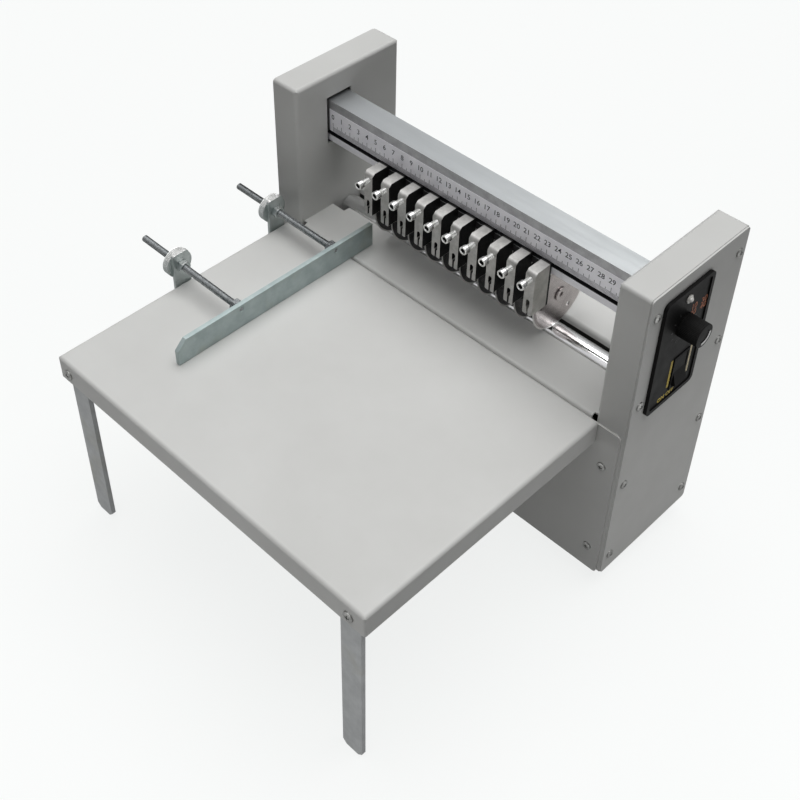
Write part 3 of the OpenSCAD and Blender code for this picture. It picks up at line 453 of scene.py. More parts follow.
def drawn_aluminium():
    """Satin aluminium bar with drawing lines along its length, darker towards its left end with painted
    shade.
    """
    left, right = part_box("knife_bar")
    material, shader = new_finish("drawn_aluminium", (0.6, 0.62, 0.62), 0.36, 1.0)
    lines = noise(material, object_pattern(material, (4, 1600, 1600)), 1, 4, 0.6)
    clouds = noise(material, object_pattern(material, (20, 90, 90)), 1, 3)
    colour = two_tones(material, clouds, (0.45, 0.47, 0.475), (0.52, 0.54, 0.545))
    # Painted shade: the colour darkens steadily towards the bar's left end
    along = reach(material, object_pattern(material, (1, 0, 0), right))
    painted_shade_leftward = spread(material, along, 0, 1, 0, right.x - left.x)
    colour_by(material, shader, stained(material, colour, (0.34, 0.352, 0.36), painted_shade_leftward))
    gloss_by(material, shader, spread(material, lines, 0.32, 0.46))
    grain_by(material, shader, lines, 0.05, 0.0002)
    return material


def pale_anodised(name):
    """Pale lilac anodised metal, with its shader and its clouded colour."""
    material, shader = new_finish(name, (0.9, 0.89, 0.93), 0.45, 0.32)
    clouds = noise(material, object_pattern(material), 65, 5, 0.6)
    return material, shader, two_tones(material, clouds, (0.86, 0.85, 0.9), (0.94, 0.93, 0.97))


def ruler_face():
    """Face of the ruler, slightly rubbed."""
    material, shader, colour = pale_anodised("ruler_face")
    colour_by(material, shader, colour)
    rubbed = noise(material, object_pattern(material), 300, 3)
    gloss_by(material, shader, spread(material, rubbed, 0.36, 0.52))
    return material


def lip_face():
    """Lower lip of the bar: painted light makes it pale like the ruler, and painted shade blackens it where
    the knives are clamped.
    """
    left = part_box(f"knife_holder_{KNIVES[0]}")[0]
    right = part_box(f"knife_holder_{KNIVES[-1]}")[1]
    # Painted light: the lip takes the pale ruler tone
    material, shader, colour = pale_anodised("lip_face")
    # Painted shade: near-black from the first holder to the last, with soft ends
    away = reach(material, object_pattern(material, (1, 0, 0), (left + right) / 2))
    dark = within(material, away, (right.x - left.x) / 2, LIP_SHADE_SOFT)
    colour_by(material, shader, stained(material, colour, (0.03, 0.03, 0.03), dark))
    return material


def polished_roller():
    """Ground and chromed roller with fine turning lines and a greyish film."""
    material, shader = new_finish("polished_roller", (0.84, 0.84, 0.85), 0.12, 1.0)
    lines = noise(material, object_pattern(material, (2600, 30, 30)), 1, 3)
    film = noise(material, object_pattern(material, (30, 30, 30)), 1, 4)
    colour_by(material, shader, two_tones(material, film, (0.7, 0.7, 0.7), (0.82, 0.82, 0.82)))
    gloss_by(material, shader, spread(material, lines, 0.08, 0.2))
    return material


def dark_seat(material, colour):
    """Painted shade: darkens a knife holder where it meets the bar."""
    away = reach(material, object_pattern(material, (0, 1, 0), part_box("knife_bar")[0]))
    dark = within(material, away, SEAT_SHADE_WIDTH, SEAT_SHADE_SOFT)
    return stained(material, colour, (0.02, 0.02, 0.02), dark)


def milled_metal():
    """Milled holder blocks: warm light grey metal with cutter lines and handling marks."""
    material, shader = new_finish("milled_metal", (0.5, 0.49, 0.475), 0.5, 0.55)
    cutter = noise(material, object_pattern(material, (1400, 120, 260)), 1, 3)
    patches = noise(material, object_pattern(material), 130, 5, 0.7)
    colour = two_tones(material, patches, (0.4, 0.395, 0.38), (0.56, 0.55, 0.535))
    # Painted shade where the holder meets the bar
    colour_by(material, shader, dark_seat(material, colour))
    gloss_by(material, shader, spread(material, cutter, 0.44, 0.6))
    grain_by(material, shader, cutter, 0.16, 0.0003)
    return material


def ground_blade(name, dark, light, metallic):
    """Ground knife steel with circular grinding lines round the axle and a pale rim, partly the ground edge's
    own tone and partly a painted highlight.
    """
    low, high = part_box(f"knife_blade_{KNIVES[0]}")
    round_axle = {"scale": (0, 1, 1), "centre": (low + high) / 2}
    material, shader = new_finish(name, light, 0.3, metallic)
    lines = rings(material, object_pattern(material, **round_axle), 520, 2.0)
    clouds = noise(material, object_pattern(material), 90, 4)
    colour = two_tones(material, clouds, dark, light)
    out = reach(material, object_pattern(material, **round_axle))
    # Painted highlight, partly the ground edge's own brightness: the rim beyond the grind radius is pale
    rim = spread(material, out, 0, 1, BLADE_GRIND_RADIUS, BLADE_GRIND_RADIUS + BLADE_GRIND_SOFT)
    colour_by(material, shader, stained(material, colour, (0.8, 0.79, 0.77), rim))
    gloss_by(material, shader, spread(material, lines, 0.22, 0.4, 0, 1))
    grain_by(material, shader, lines, 0.06, 0.0001)
    return material


# Finishes of the controls, print, motor and feet

def moulded_black(name, grey, roughness, grain):
    """Black moulded plastic with a fine spark grain and faint dust."""
    lit = grey * 1.7
    dark = (grey, grey * 0.97, grey * 0.94)
    dusty = (lit, lit * 0.97, lit * 0.95)
    material, shader = new_finish(name, dark, roughness)
    place = object_pattern(material)
    dust = noise(material, place, 55, 5, 0.7)
    colour_by(material, shader, two_tones(material, dust, dark, dusty, 0.45, 0.75))
    gloss_by(material, shader, spread(material, dust, roughness - 0.06, roughness + 0.1))
    grain_by(material, shader, noise(material, place, 2200, 2), grain, 0.0002)
    shader.inputs["Specular IOR Level"].default_value = 0.12
    return material


def lamp_plastic():
    """Clear lens of the indicator lamp, milky inside."""
    material, shader = patchy("lamp_plastic", (0.66, 0.65, 0.61), (0.85, 0.84, 0.8), (500, 3), 0.12)
    shader.inputs["Coat Weight"].default_value = 0.6
    return material


def plain_ink(name, colour, roughness=0.55):
    """Printed ink, a little uneven."""
    material, shader = new_finish(name, colour, roughness)
    patches = noise(material, object_pattern(material), 900, 3)
    thin = [min(1.0, c * 1.5 + 0.012) for c in colour]
    colour_by(material, shader, two_tones(material, patches, colour, thin, 0.45, 0.8))
    return material


def motor_paint():
    """Dark satin paint of the motor."""
    material, _ = patchy("motor_paint", (0.045, 0.045, 0.05), (0.085, 0.085, 0.09), (60, 4), 0.5,
                         grain=((1200, 2), 0.15, 0.0003))
    return material


def foot_rubber():
    """Matt black rubber, dusty in patches."""
    material, _ = patchy("foot_rubber", (0.016, 0.016, 0.016), (0.05, 0.05, 0.048), (110, 5, 0.7), 0.8,
                         grain=((900, 3), 0.3, 0.0004))
    return material


def make_finishes():
    FINISH.update({
        "painted_sheet": powder_coat("powder_coat"),
        # Powder coat with a painted shade band along the exit plate's slot
        "exit_coat_painted_slot_shade": powder_coat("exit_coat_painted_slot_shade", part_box("exit_plate")[0]),
        "inner_steel": machined_steel("inner_steel", (0.36, 0.36, 0.36), 0.4),
        "gear_steel": machined_steel("gear_steel", (0.45, 0.43, 0.4), 0.34),
        "motor_paint": motor_paint(),
        "rubber": foot_rubber(),
        "zinc_steel": zinc_plate("guide_zinc", (0.36, 0.43, 0.43), (0.45, 0.525, 0.52), 0.5, (900, 12, 900)),
        "leg_zinc": zinc_plate("leg_zinc", (0.48, 0.495, 0.5), (0.58, 0.595, 0.6), 0.3, (900, 900, 12)),
        "nut_zinc": nut_zinc(),
        "rod_steel": rod_zinc(),
        "screw_steel": plated_screw(),
        "dull_screw": dull_screw(),
        "bar_aluminium": drawn_aluminium(),
        # Painted shade on the bar's front band above the groove
        "bar_band_painted_shade": machined_steel("bar_band_painted_shade", (0.42, 0.42, 0.43), 0.5),
        # Painted shade on the bar's underside
        "bar_under_painted_shade": machined_steel("bar_under_painted_shade", (0.1, 0.1, 0.1), 0.5),
        # Lower lip of the bar: painted light and painted shade
        "lip_face": lip_face(),
        # Painted shade, drawn with the ink finish, in the bar's groove and the clamp screws' sockets
        "recess_painted_shade": plain_ink("recess_painted_shade", (0.006, 0.006, 0.007), 0.8),
        "ruler_face": ruler_face(),
        "polished_steel": polished_roller(),
        "holder_metal": milled_metal(),
        # Holder sides, with painted shade where they meet the bar
        "holder_side": machined_steel("holder_side", (0.52, 0.51, 0.48), 0.5, dark_seat),
        # Painted shade on holder faces that look at a neighbour
        "holder_gap_painted_shade": machined_steel("holder_gap_painted_shade", (0.045, 0.045, 0.045), 0.55),
        "blade_steel": ground_blade("ground_blade", (0.42, 0.385, 0.38), (0.54, 0.5, 0.495), 1.0),
        # Painted shade: dark knives with a pale rim
        "painted_shade_blade": ground_blade("painted_shade_blade", (0.03, 0.03, 0.03), (0.06, 0.058, 0.058), 0.3),
        "black_plastic": moulded_black("panel_black", 0.004, 0.42, 0.12),
        "rocker_plastic": moulded_black("rocker_black", 0.003, 0.45, 0.03),
        "lamp_lens": lamp_plastic(),
        "black_ink": plain_ink("black_ink", (0.015, 0.015, 0.022)),
        # Painted highlight on the knob's end
        "knob_painted_highlight": plain_ink("knob_painted_highlight", (0.92, 0.92, 0.9), 0.3),
        "yellow_ink": plain_ink("yellow_ink", (0.62, 0.47, 0.09)),
        "cream_ink": plain_ink("cream_ink", (0.62, 0.54, 0.36)),
        "orange_ink": plain_ink("orange_ink", (0.42, 0.15, 0.08)),
        "grey_ink": plain_ink("grey_ink", (0.05, 0.05, 0.05)),
    })


# Modelling helpers

def deselect():
    bpy.ops.object.select_all(action="DESELECT")


def take(piece):
    """Selects one piece alone and makes it active."""
    deselect()
    piece.select_set(True)
    bpy.context.view_layer.objects.active = piece


def enter_edit():
    bpy.ops.object.mode_set(mode="EDIT")


def leave_edit():
    bpy.ops.object.mode_set(mode="OBJECT")


def settle(piece):
    """Puts a piece's place, turn and scale into its mesh."""
    take(piece)
    bpy.ops.object.transform_apply(location=True, rotation=True, scale=True)
    return piece


def block(name, low, high):
    """A box between two corners, still to be shaped."""
    low, high = Vector(low), Vector(high)
    deselect()
    bpy.ops.mesh.primitive_cube_add(size=1, location=(low + high) / 2)
    piece = bpy.context.object
    piece.name = name
    piece.scale = high - low
    return settle(piece)


def drum(name, centre, radius, length, axis, sides=ROUND_SIDES):
    """A round or many-sided bar along an axis, still to be shaped."""
    deselect()
    bpy.ops.mesh.primitive_cylinder_add(vertices=sides, radius=radius, depth=length, location=centre,
                                        rotation=AXIS_TURN[axis])
    piece = bpy.context.object
    piece.name = name
    return settle(piece)


def cone(name, x_high, y, z, radius, depth):
    """A cone with its wide end a little proud of a face that looks along +X, to sink a hole with."""
    deselect()
    wide = radius * (1 + SINK_PROUD / depth)
    middle = (x_high + (SINK_PROUD - depth) / 2, y, z)
    bpy.ops.mesh.primitive_cone_add(vertices=ROUND_SIDES, radius1=wide, radius2=0, depth=depth + SINK_PROUD,
                                    location=middle, rotation=(0, -math.pi / 2, 0))
    piece = bpy.context.object
    piece.name = name
    return settle(piece)


def pick_faces(piece, wanted):
    """Enters edit mode with only the faces selected that a test on centre and normal accepts."""
    take(piece)
    enter_edit()
    bpy.ops.mesh.select_mode(type="FACE")
    bpy.ops.mesh.select_all(action="DESELECT")
    leave_edit()
    for face in piece.data.polygons:
        face.select = wanted(face.center, face.normal)
    enter_edit()


def apply_modifier(piece, kind, **settings):
    take(piece)
    modifier = piece.modifiers.new(kind.lower(), kind)
    for key, value in settings.items():
        setattr(modifier, key, value)
    bpy.ops.object.modifier_apply(modifier=modifier.name)


def ease(piece, width, segments=2, angle=EASE_ANGLE):
    """Rounds the hard edges of a piece."""
    apply_modifier(piece, "BEVEL", width=width, segments=segments, limit_method="ANGLE",
                   angle_limit=math.radians(angle))
    return piece


def combine(piece, tool, operation):
    """Cuts a tool out of a piece, or keeps only what both share, and removes the tool."""
    apply_modifier(piece, "BOOLEAN", object=tool, operation=operation, solver="EXACT")
    bpy.data.objects.remove(tool)
    return piece


def join(pieces, name):
    take(pieces[0])
    for piece in pieces[1:]:
        piece.select_set(True)
    bpy.ops.object.join()
    pieces[0].name = name
    return pieces[0]


def shade(piece, angle=SMOOTH_ANGLE):
    """Smooths the rounded edges and keeps the flat faces flat."""
    take(piece)
    bpy.ops.object.shade_smooth_by_angle(angle=math.radians(angle))
    apply_modifier(piece, "WEIGHTED_NORMAL", keep_sharp=True)
    return piece


def twin(piece, name, offset):
    """A copy of a piece, with its own mesh, moved by an offset."""
    copy = bpy.data.objects.new(name, piece.data.copy())
    copy.data.name = name
    copy.data.transform(Matrix.Translation(offset))
    bpy.context.scene.collection.objects.link(copy)
    return copy


def finish(piece, finish_name, body, slot, *replaced):
    """Gives a piece its material and its body, and hides the nodes that it stands for; the slot is not used.
    """
    piece.data.materials.clear()
    piece.data.materials.append(FINISH[finish_name])
    piece.data.name = piece.name
    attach(piece, body)
    if replaced:
        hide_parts(*replaced)
    return piece


def second_finish(piece, finish_name, wanted):
    """Gives the faces that a test on centre and normal accepts another finish."""
    piece.data.materials.append(FINISH[finish_name])
    last = len(piece.data.materials) - 1
    for face in piece.data.polygons:
        if wanted(face.center, face.normal):
            face.material_index = last


def eased_copy(node, name, width, angle=EASE_ANGLE):
    """A copy of a CAD solid with its triangles merged into faces and its hard edges rounded."""
    piece = bpy.data.objects.new(name, frame["nodes"][node].data.copy())
    bpy.context.scene.collection.objects.link(piece)
    take(piece)
    bpy.ops.mesh.customdata_custom_splitnormals_clear()
    enter_edit()
    bpy.ops.mesh.select_all(action="SELECT")
    bpy.ops.mesh.remove_doubles(threshold=MERGE)
    bpy.ops.mesh.dissolve_limited(angle_limit=math.radians(FLAT_ANGLE))
    leave_edit()
    ease(piece, width, angle=angle)
    return shade(piece)


def lettering(name, text, centre, size, normal, ink, bold):
    """Printed characters, standing upright on a face that looks along its normal."""
    deselect()
    bpy.ops.object.text_add(location=centre)
    piece = bpy.context.object
    piece.name = name
    piece.data.body = text
    piece.data.size = size
    piece.data.align_x = "CENTER"
    piece.data.align_y = "CENTER"
    piece.data.extrude = ink
    piece.data.offset = bold
    piece.data.resolution_u = 3
    piece.rotation_euler = {"-Y": (math.pi / 2, 0, 0), "+X": (math.pi / 2, 0, math.pi / 2)}[normal]
    bpy.ops.object.convert(target="MESH")
    return settle(bpy.context.object)


# Threads and nuts

def thread_profile(name, radius, pitch, depth):
    """One vee of a thread, three points in the plane of the X and Z axes."""
    deselect()
    bpy.ops.mesh.primitive_plane_add(size=1)
    profile = bpy.context.object
    profile.name = name
    enter_edit()
    bpy.ops.mesh.select_all(action="DESELECT")
    leave_edit()
    profile.data.vertices[3].select = True
    enter_edit()
    bpy.ops.mesh.delete(type="VERT")
    leave_edit()
    points = profile.data.vertices
    roots = [p.index for p in points if sum(p.index in edge.vertices for edge in profile.data.edges) == 1]
    crest = next(p.index for p in points if p.index not in roots)
    points[roots[0]].co = (0, 0, radius - depth)
    points[crest].co = (pitch / 2, 0, radius)
    points[roots[1]].co = (pitch, 0, radius - depth)
    return profile


def threaded_bar(name, start, length, radius, pitch, depth, steps, axis="X"):
    """A threaded bar: a vee swept by a screw, cut square at both ends and capped."""
    bar = thread_profile(name, radius, pitch, depth)
    apply_modifier(bar, "SCREW", axis="X", screw_offset=pitch, iterations=math.ceil(length / pitch) + 2,
                   steps=steps, render_steps=steps, use_merge_vertices=True, merge_threshold=MERGE)
    enter_edit()
    bpy.ops.mesh.select_all(action="SELECT")
    bpy.ops.mesh.remove_doubles(threshold=MERGE)
    bpy.ops.mesh.bisect(plane_co=(pitch, 0, 0), plane_no=(1, 0, 0), use_fill=True, clear_inner=True)
    bpy.ops.mesh.select_all(action="SELECT")
    bpy.ops.mesh.bisect(plane_co=(pitch + length, 0, 0), plane_no=(1, 0, 0), use_fill=True, clear_outer=True)
    bpy.ops.mesh.select_all(action="SELECT")
    bpy.ops.mesh.normals_make_consistent(inside=False)
    leave_edit()
    bar.data.transform(Matrix.Translation((-pitch, 0, 0)))
    if axis == "Y":
        bar.data.transform(Matrix.Rotation(math.pi / 2, 4, "Z"))
    bar.data.transform(Matrix.Translation(start))
    return bar


def hex_nut(name, x_low, y, z, bore):
    """A hex nut with turned corners on both faces."""
    middle = (x_low + NUT_THICK / 2, y, z)
    nut = drum(name, middle, NUT_ACROSS / 2 * HEX_CORNER, NUT_THICK, "X", HEX_SIDES)
    turned = drum("turned", middle, NUT_TURNED_RADIUS, NUT_THICK, "X", FINE_SIDES)
    ease(turned, NUT_TURNED_EDGE, 1)
    combine(nut, turned, "INTERSECT")
    return combine(nut, drum("bore", middle, bore, NUT_THICK * 2, "X"), "DIFFERENCE")


def thumb_nut(name, x_high, y, z, radius, bore):
    """A round nut with a knurled rim and a collar on its outer face."""
    rim = x_high - THUMB_THICK / 2
    nut = drum(name, (rim, y, z), radius, THUMB_THICK, "X", THUMB_SIDES)
    pick_faces(nut, lambda centre, normal: normal.x < -ALONG)
    bpy.ops.mesh.inset(thickness=radius * THUMB_COLLAR_INSET)
    bpy.ops.mesh.extrude_region_move(TRANSFORM_OT_translate={"value": (-THUMB_COLLAR, 0, 0)})
    leave_edit()
    pick_faces(nut, lambda centre, normal: abs(normal.x) < ACROSS and centre.x > x_high - THUMB_THICK)
    bpy.ops.mesh.inset(thickness=KNURL_RIM, depth=-KNURL_DEPTH, use_individual=True)
    leave_edit()
    combine(nut, drum("bore", (rim, y, z), bore, THUMB_THICK * 4, "X"), "DIFFERENCE")
    return ease(nut, THUMB_EDGE, 2, ROUND_EASE_ANGLE)


# Bar and ruler

def make_bar():
    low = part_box("knife_bar")[0]
    groove_low, groove_high = low.z + GROOVE_LOW, low.z + GROOVE_HIGH
    front = low.y + GROOVE_SKIN
    bar = eased_copy("knife_bar", "grooved_bar", BAR_EDGE)
    finish(bar, "bar_aluminium", "machine_body", "bar_aluminium", "knife_bar")
    # Painted shade on the front band above the groove, on the underside and inside the groove; painted light
    # and shade on the lip below it
    second_finish(bar, "bar_band_painted_shade", lambda centre, normal: normal.y < -ALONG and centre.z > groove_high)
    second_finish(bar, "lip_face", lambda centre, normal: normal.y < -ALONG and centre.z < groove_low)
    second_finish(bar, "bar_under_painted_shade", lambda centre, normal: normal.z < -ALONG)
    second_finish(bar, "recess_painted_shade", lambda centre, normal: front < centre.y < front + GROOVE_DEPTH
                  and groove_low < centre.z < groove_high)


def make_ruler():
    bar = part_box("knife_bar")[0]
    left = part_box("left_housing")[1].x
    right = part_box("right_housing")[0].x - RULER_END_GAP
    face = bar.y - RULER_THICK
    low = bar.z + RULER_LOW
    strip = block("ruler_strip", (left + RULER_END_GAP, face, low), (right, bar.y, bar.z + RULER_HIGH))
    ease(strip, RULER_EDGE)
    finish(shade(strip), "ruler_face", "machine_body", "bar_aluminium")

    zero = left + RULER_ZERO
    count = int((right - zero) / RULER_STEP)
    foot = low + RULER_MARK_LIFT
    marks = []
    for step in range(RULER_MARKS_PER_STEP):
        x = zero + step * RULER_STEP / RULER_MARKS_PER_STEP
        tall = RULER_MARK_LENGTHS.get(step, RULER_MARK_SHORT)
        marks.append(block("mark", (x - RULER_MARK_WIDTH / 2, face - INK_THICK, foot),
                           (x + RULER_MARK_WIDTH / 2, face, foot + tall)))
    scale = join(marks, "ruler_marks")
    apply_modifier(scale, "ARRAY", count=count, use_relative_offset=False, use_constant_offset=True,
                   constant_offset_displace=(RULER_STEP, 0, 0))
    finish(scale, "black_ink", "machine_body", "bar_aluminium")

    numbers = []
    for n in range(count + 1):
        middle = (zero + n * RULER_STEP, face, bar.z + RULER_NUMBER_AT)
        numbers.append(lettering("number", str(n), middle, RULER_NUMBER_SIZE, "-Y", INK_THICK,
                                 RULER_NUMBER_BOLD))
    finish(join(numbers, "ruler_numbers"), "black_ink", "machine_body", "bar_aluminium")


# Side guide and legs

def guide_stud(x_low, x_high, y, z):
    """The thin end of a rod, riveted flat below the guide's face."""
    length = x_high - x_low - STUD_BELOW_FACE
    stud = drum("stud", (x_low + length / 2, y, z), STUD_RADIUS, length, "X")
    return ease(stud, STUD_EDGE)


def make_guide():
    rods_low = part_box("guide_rods")[0]
    guide_low, guide_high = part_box("side_guide")
    nuts_low, nuts_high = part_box("rod_nuts")
    bracket_low, bracket_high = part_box("rod_brackets")
    thumb_radius = (nuts_high.z - nuts_low.z) / 2
    z = (nuts_low.z + nuts_high.z) / 2
    rod_ys = (nuts_low.y + thumb_radius, nuts_high.y - thumb_radius)
    tip = rods_low.x + ROD_END_INSET
    rods, nuts = [], []
    for y in rod_ys:
        rods.append(threaded_bar("rod", (tip, y, z), guide_low.x - tip, ROD_RADIUS, ROD_PITCH,
                                 ROD_THREAD_DEPTH, ROD_THREAD_STEPS))
        rods.append(guide_stud(guide_low.x, guide_high.x, y, z))
        rods.append(hex_nut("guide_nut", guide_low.x - NUT_THICK, y, z, ROD_RADIUS - ROD_THREAD_DEPTH / 2))
        nuts.append(thumb_nut("thumb_nut", bracket_low.x, y, z, thumb_radius, ROD_RADIUS + ROD_CLEARANCE))
        nuts.append(hex_nut("bracket_nut", bracket_high.x, y, z, ROD_RADIUS + ROD_CLEARANCE))
    rod_set = shade(join(rods, "threaded_rods"), ROUND_SMOOTH_ANGLE)
    finish(rod_set, "rod_steel", "guide", "rod_steel", "guide_rods")
    nut_set = shade(join(nuts, "bracket_nuts"), ROUND_SMOOTH_ANGLE)
    finish(nut_set, "nut_zinc", "machine_body", "zinc_steel", "rod_nuts")
    # Painted light: upward faces of the nuts take the brighter plated finish, as if lit from above
    second_finish(nut_set, "screw_steel", lambda centre, normal: normal.z > UPWARD)

    bar = eased_copy("side_guide", "guide_bar", GUIDE_EDGE)
    for y in rod_ys:
        combine(bar, cone("sink", guide_high.x, y, z, SINK_RADIUS, SINK_DEPTH), "DIFFERENCE")
    finish(shade(bar), "zinc_steel", "guide", "zinc_steel", "side_guide")

    plates = eased_copy("rod_brackets", "bracket_plates", BRACKET_EDGE)
    finish(plates, "nut_zinc", "machine_body", "zinc_steel", "rod_brackets")
    # Painted light: upward faces of the brackets take the brighter plated finish, as if lit from above
    second_finish(plates, "screw_steel", lambda centre, normal: normal.z > UPWARD)


def make_legs():
    for side in ("left", "right"):
        leg = eased_copy(f"{side}_leg", f"{side}_flat_leg", LEG_EDGE)
        finish(leg, "leg_zinc", f"{side}_leg", "zinc_steel", f"{side}_leg")


# Knives

def make_clamp_screw(x, y_head, y_tip, z):
    """A cap screw along Y with a smooth head, a hex socket and a threaded shank."""
    middle = (x, y_head + CLAMP_HEAD_LENGTH / 2, z)
    head = drum("clamp_screw", middle, CLAMP_HEAD_RADIUS, CLAMP_HEAD_LENGTH, "Y", CLAMP_HEAD_SIDES)
    socket = drum("socket", (x, y_head, z), CLAMP_SOCKET_ACROSS / 2 * HEX_CORNER, CLAMP_HEAD_LENGTH, "Y",
                  HEX_SIDES)
    combine(head, socket, "DIFFERENCE")
    ease(head, CLAMP_HEAD_EDGE, 3, ROUND_EASE_ANGLE)
    y_neck = y_head + CLAMP_HEAD_LENGTH
    shank = threaded_bar("shank", (x, y_neck - CLAMP_SHANK_LAP, z), y_tip - y_neck, CLAMP_SHANK_RADIUS,
                         SCREW_PITCH, SCREW_THREAD_DEPTH, SCREW_THREAD_STEPS, "Y")
    return [head, shank]


def make_axle_screw(x, half_width, y, z):
    """The flat-headed screw that carries a knife."""
    seat = x + KNIFE_SLIT_HALF
    head = drum("axle_screw", (seat + AXLE_HEAD_THICK / 2, y, z), AXLE_HEAD_RADIUS, AXLE_HEAD_THICK, "X",
                FINE_SIDES)
    pick_faces(head, lambda centre, normal: normal.x < -ALONG)
    bpy.ops.mesh.inset(thickness=AXLE_HEAD_RADIUS / 2)
    bpy.ops.mesh.extrude_region_move(TRANSFORM_OT_translate={"value": (-half_width - KNIFE_SLIT_HALF, 0, 0)})
    leave_edit()
    socket = drum("socket", (seat + AXLE_HEAD_THICK, y, z), AXLE_SOCKET_ACROSS / 2 * HEX_CORNER,
                  AXLE_HEAD_THICK * 3, "X", HEX_SIDES)
    combine(head, socket, "DIFFERENCE")
    return [ease(head, AXLE_HEAD_EDGE)]


def finish_holder(k, holder):
    """A holder's sides are plain steel, and painted shade darkens them where they face another holder."""
    first, last = k == KNIVES[0], k == KNIVES[-1]
    finish(holder, "holder_metal", f"knife_{k}", "holder_metal", f"knife_holder_{k}")
    second_finish(holder, "holder_side", lambda centre, normal: abs(normal.x) > SQUARE)
    # Painted shade: faces that look at a neighbouring holder are near-black
    second_finish(holder, "holder_gap_painted_shade", lambda centre, normal: not first and normal.x < -SQUARE
                  or not last and normal.x > SQUARE)


def finish_screws(k, screws, clamp_z):
    """A knife's screws: the axle screw is like the knife, and the clamp screw's socket is painted dark inside
    as shade.
    """
    low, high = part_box(f"knife_blade_{k}")
    axle = (low + high) / 2
    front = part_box(f"knife_screws_{k}")[0].y
    socket_from = front + CLAMP_SOCKET_INSET
    socket_to = front + CLAMP_HEAD_LENGTH - CLAMP_SOCKET_INSET
    socket_radius = CLAMP_HEAD_RADIUS * CLAMP_SOCKET_REACH
    finish(screws, "screw_steel", f"knife_{k}", "screw_steel", f"knife_screws_{k}")
    second_finish(screws, "blade_steel", lambda centre, normal: centre.z < axle.z + 2 * AXLE_HEAD_RADIUS)
    # Painted shade inside the clamp screw's socket
    second_finish(screws, "recess_painted_shade", lambda centre, normal: socket_from < centre.y < socket_to
                  and math.hypot(centre.x - axle.x, centre.z - clamp_z) < socket_radius)


def make_knives():
    first_low, first_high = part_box("knife_holder_1")
    screws_low, screws_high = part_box("knife_screws_1")
    blade_low, blade_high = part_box("knife_blade_1")
    axle = (blade_low + blade_high) / 2
    bar_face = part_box("knife_bar")[0].y
    clamp_z = screws_high.z - CLAMP_CAD_RADIUS
    first_holder = eased_copy("knife_holder_1", "holder_block_1", HOLDER_EDGE, HOLDER_EASE_ANGLE)
    screws = make_clamp_screw(axle.x, screws_low.y, bar_face - CLAMP_TIP_GAP, clamp_z)
    screws += make_axle_screw(axle.x, (first_high.x - first_low.x) / 2, axle.y, axle.z)
    first_screws = shade(join(screws, "holder_screws_1"), ROUND_SMOOTH_ANGLE)
    holders, screw_sets = [first_holder], [first_screws]
    for k in KNIVES[1:]:
        offset = Vector((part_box(f"knife_holder_{k}")[0].x - first_low.x, 0, 0))
        holders.append(twin(first_holder, f"holder_block_{k}", offset))
        screw_sets.append(twin(first_screws, f"holder_screws_{k}", offset))
    for k, holder, screw_set in zip(KNIVES, holders, screw_sets):
        finish_holder(k, holder)
        finish_screws(k, screw_set, clamp_z)


# Controls and power inlet

def make_knob():
    """The speed knob: a fluted grip on a skirt, with a painted highlight, a white arc, round its sunk end."""
    low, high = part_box("speed_knob")
    middle = (low + high) / 2
    y, z = middle.y, middle.z
    skirt_radius = (high.z - low.z) / 2
    grip_radius = skirt_radius - KNOB_SKIRT_WIDTH
    grip = drum("speed_grip", middle, grip_radius, high.x - low.x, "X", KNOB_FLUTES)
    pick_faces(grip, lambda centre, normal: abs(normal.x) < ACROSS)
    bpy.ops.mesh.inset(thickness=KNOB_FLUTE_RIM, depth=-KNOB_FLUTE_DEPTH, use_individual=True)
    leave_edit()
    pick_faces(grip, lambda centre, normal: normal.x > ALONG)
    bpy.ops.mesh.inset(thickness=KNOB_RIM_WIDTH)
    bpy.ops.mesh.inset(thickness=KNOB_RING_WIDTH)
    bpy.ops.mesh.inset(thickness=KNOB_SINK_EDGE, depth=-KNOB_SINK_DEPTH)
    leave_edit()
    ease(grip, KNOB_EDGE, 2, ROUND_EASE_ANGLE)

    skirt = drum("skirt", (low.x + KNOB_SKIRT_THICK / 2, y, z), skirt_radius, KNOB_SKIRT_THICK, "X",
                 KNOB_SKIRT_SIDES)
    ease(skirt, KNOB_SKIRT_EDGE, 3, ROUND_EASE_ANGLE)
    knob = shade(join([grip, skirt], "speed_grip"), ROUND_SMOOTH_ANGLE)
    finish(knob, "black_plastic", "knob", "black_plastic", "speed_knob")

    outer = grip_radius - KNOB_RIM_WIDTH
    inner = outer - KNOB_RING_WIDTH
    highlight_y, highlight_z = math.cos(KNOB_HIGHLIGHT_ANGLE), math.sin(KNOB_HIGHLIGHT_ANGLE)
    # Painted highlight: a white arc on the sunk end's ring, towards the highlight angle
    second_finish(knob, "knob_painted_highlight", lambda centre, normal: centre.x > high.x - KNOB_HIGHLIGHT_SKIN
                  and inner < math.hypot(centre.y - y, centre.z - z) < outer
                  and (centre.y - y) * highlight_y + (centre.z - z) * highlight_z > inner * KNOB_HIGHLIGHT_REACH)


def make_dial_print(face):
    """Marks round the knob and the numbers beside it."""
    low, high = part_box("speed_knob")
    y, z = (low.y + high.y) / 2, (low.z + high.z) / 2
    mark_from = (high.z - low.z) / 2 + DIAL_MARK_GAP
    marks = []
    for step in range(DIAL_MARKS):
        mark = block("dial_mark", (face, -DIAL_MARK_HALF, mark_from),
                     (face + PRINT_THICK, DIAL_MARK_HALF, mark_from + DIAL_MARK_LENGTH))
        mark.data.transform(Matrix.Rotation(math.radians(DIAL_END - DIAL_STEP * step), 4, "X"))
        mark.data.transform(Matrix.Translation((0, y, z)))
        marks.append(mark)
    finish(join(marks, "dial_marks"), "grey_ink", "machine_body", "black_plastic")

    digits = []
    for text, across, up in DIAL_NUMBERS:
        middle = (face, y + across, z + up)
        digits.append(lettering("digits", text, middle, DIAL_NUMBER_SIZE, "+X", PRINT_THICK,
                                DIAL_NUMBER_BOLD))
    finish(join(digits, "panel_numbers"), "orange_ink", "machine_body", "black_plastic")


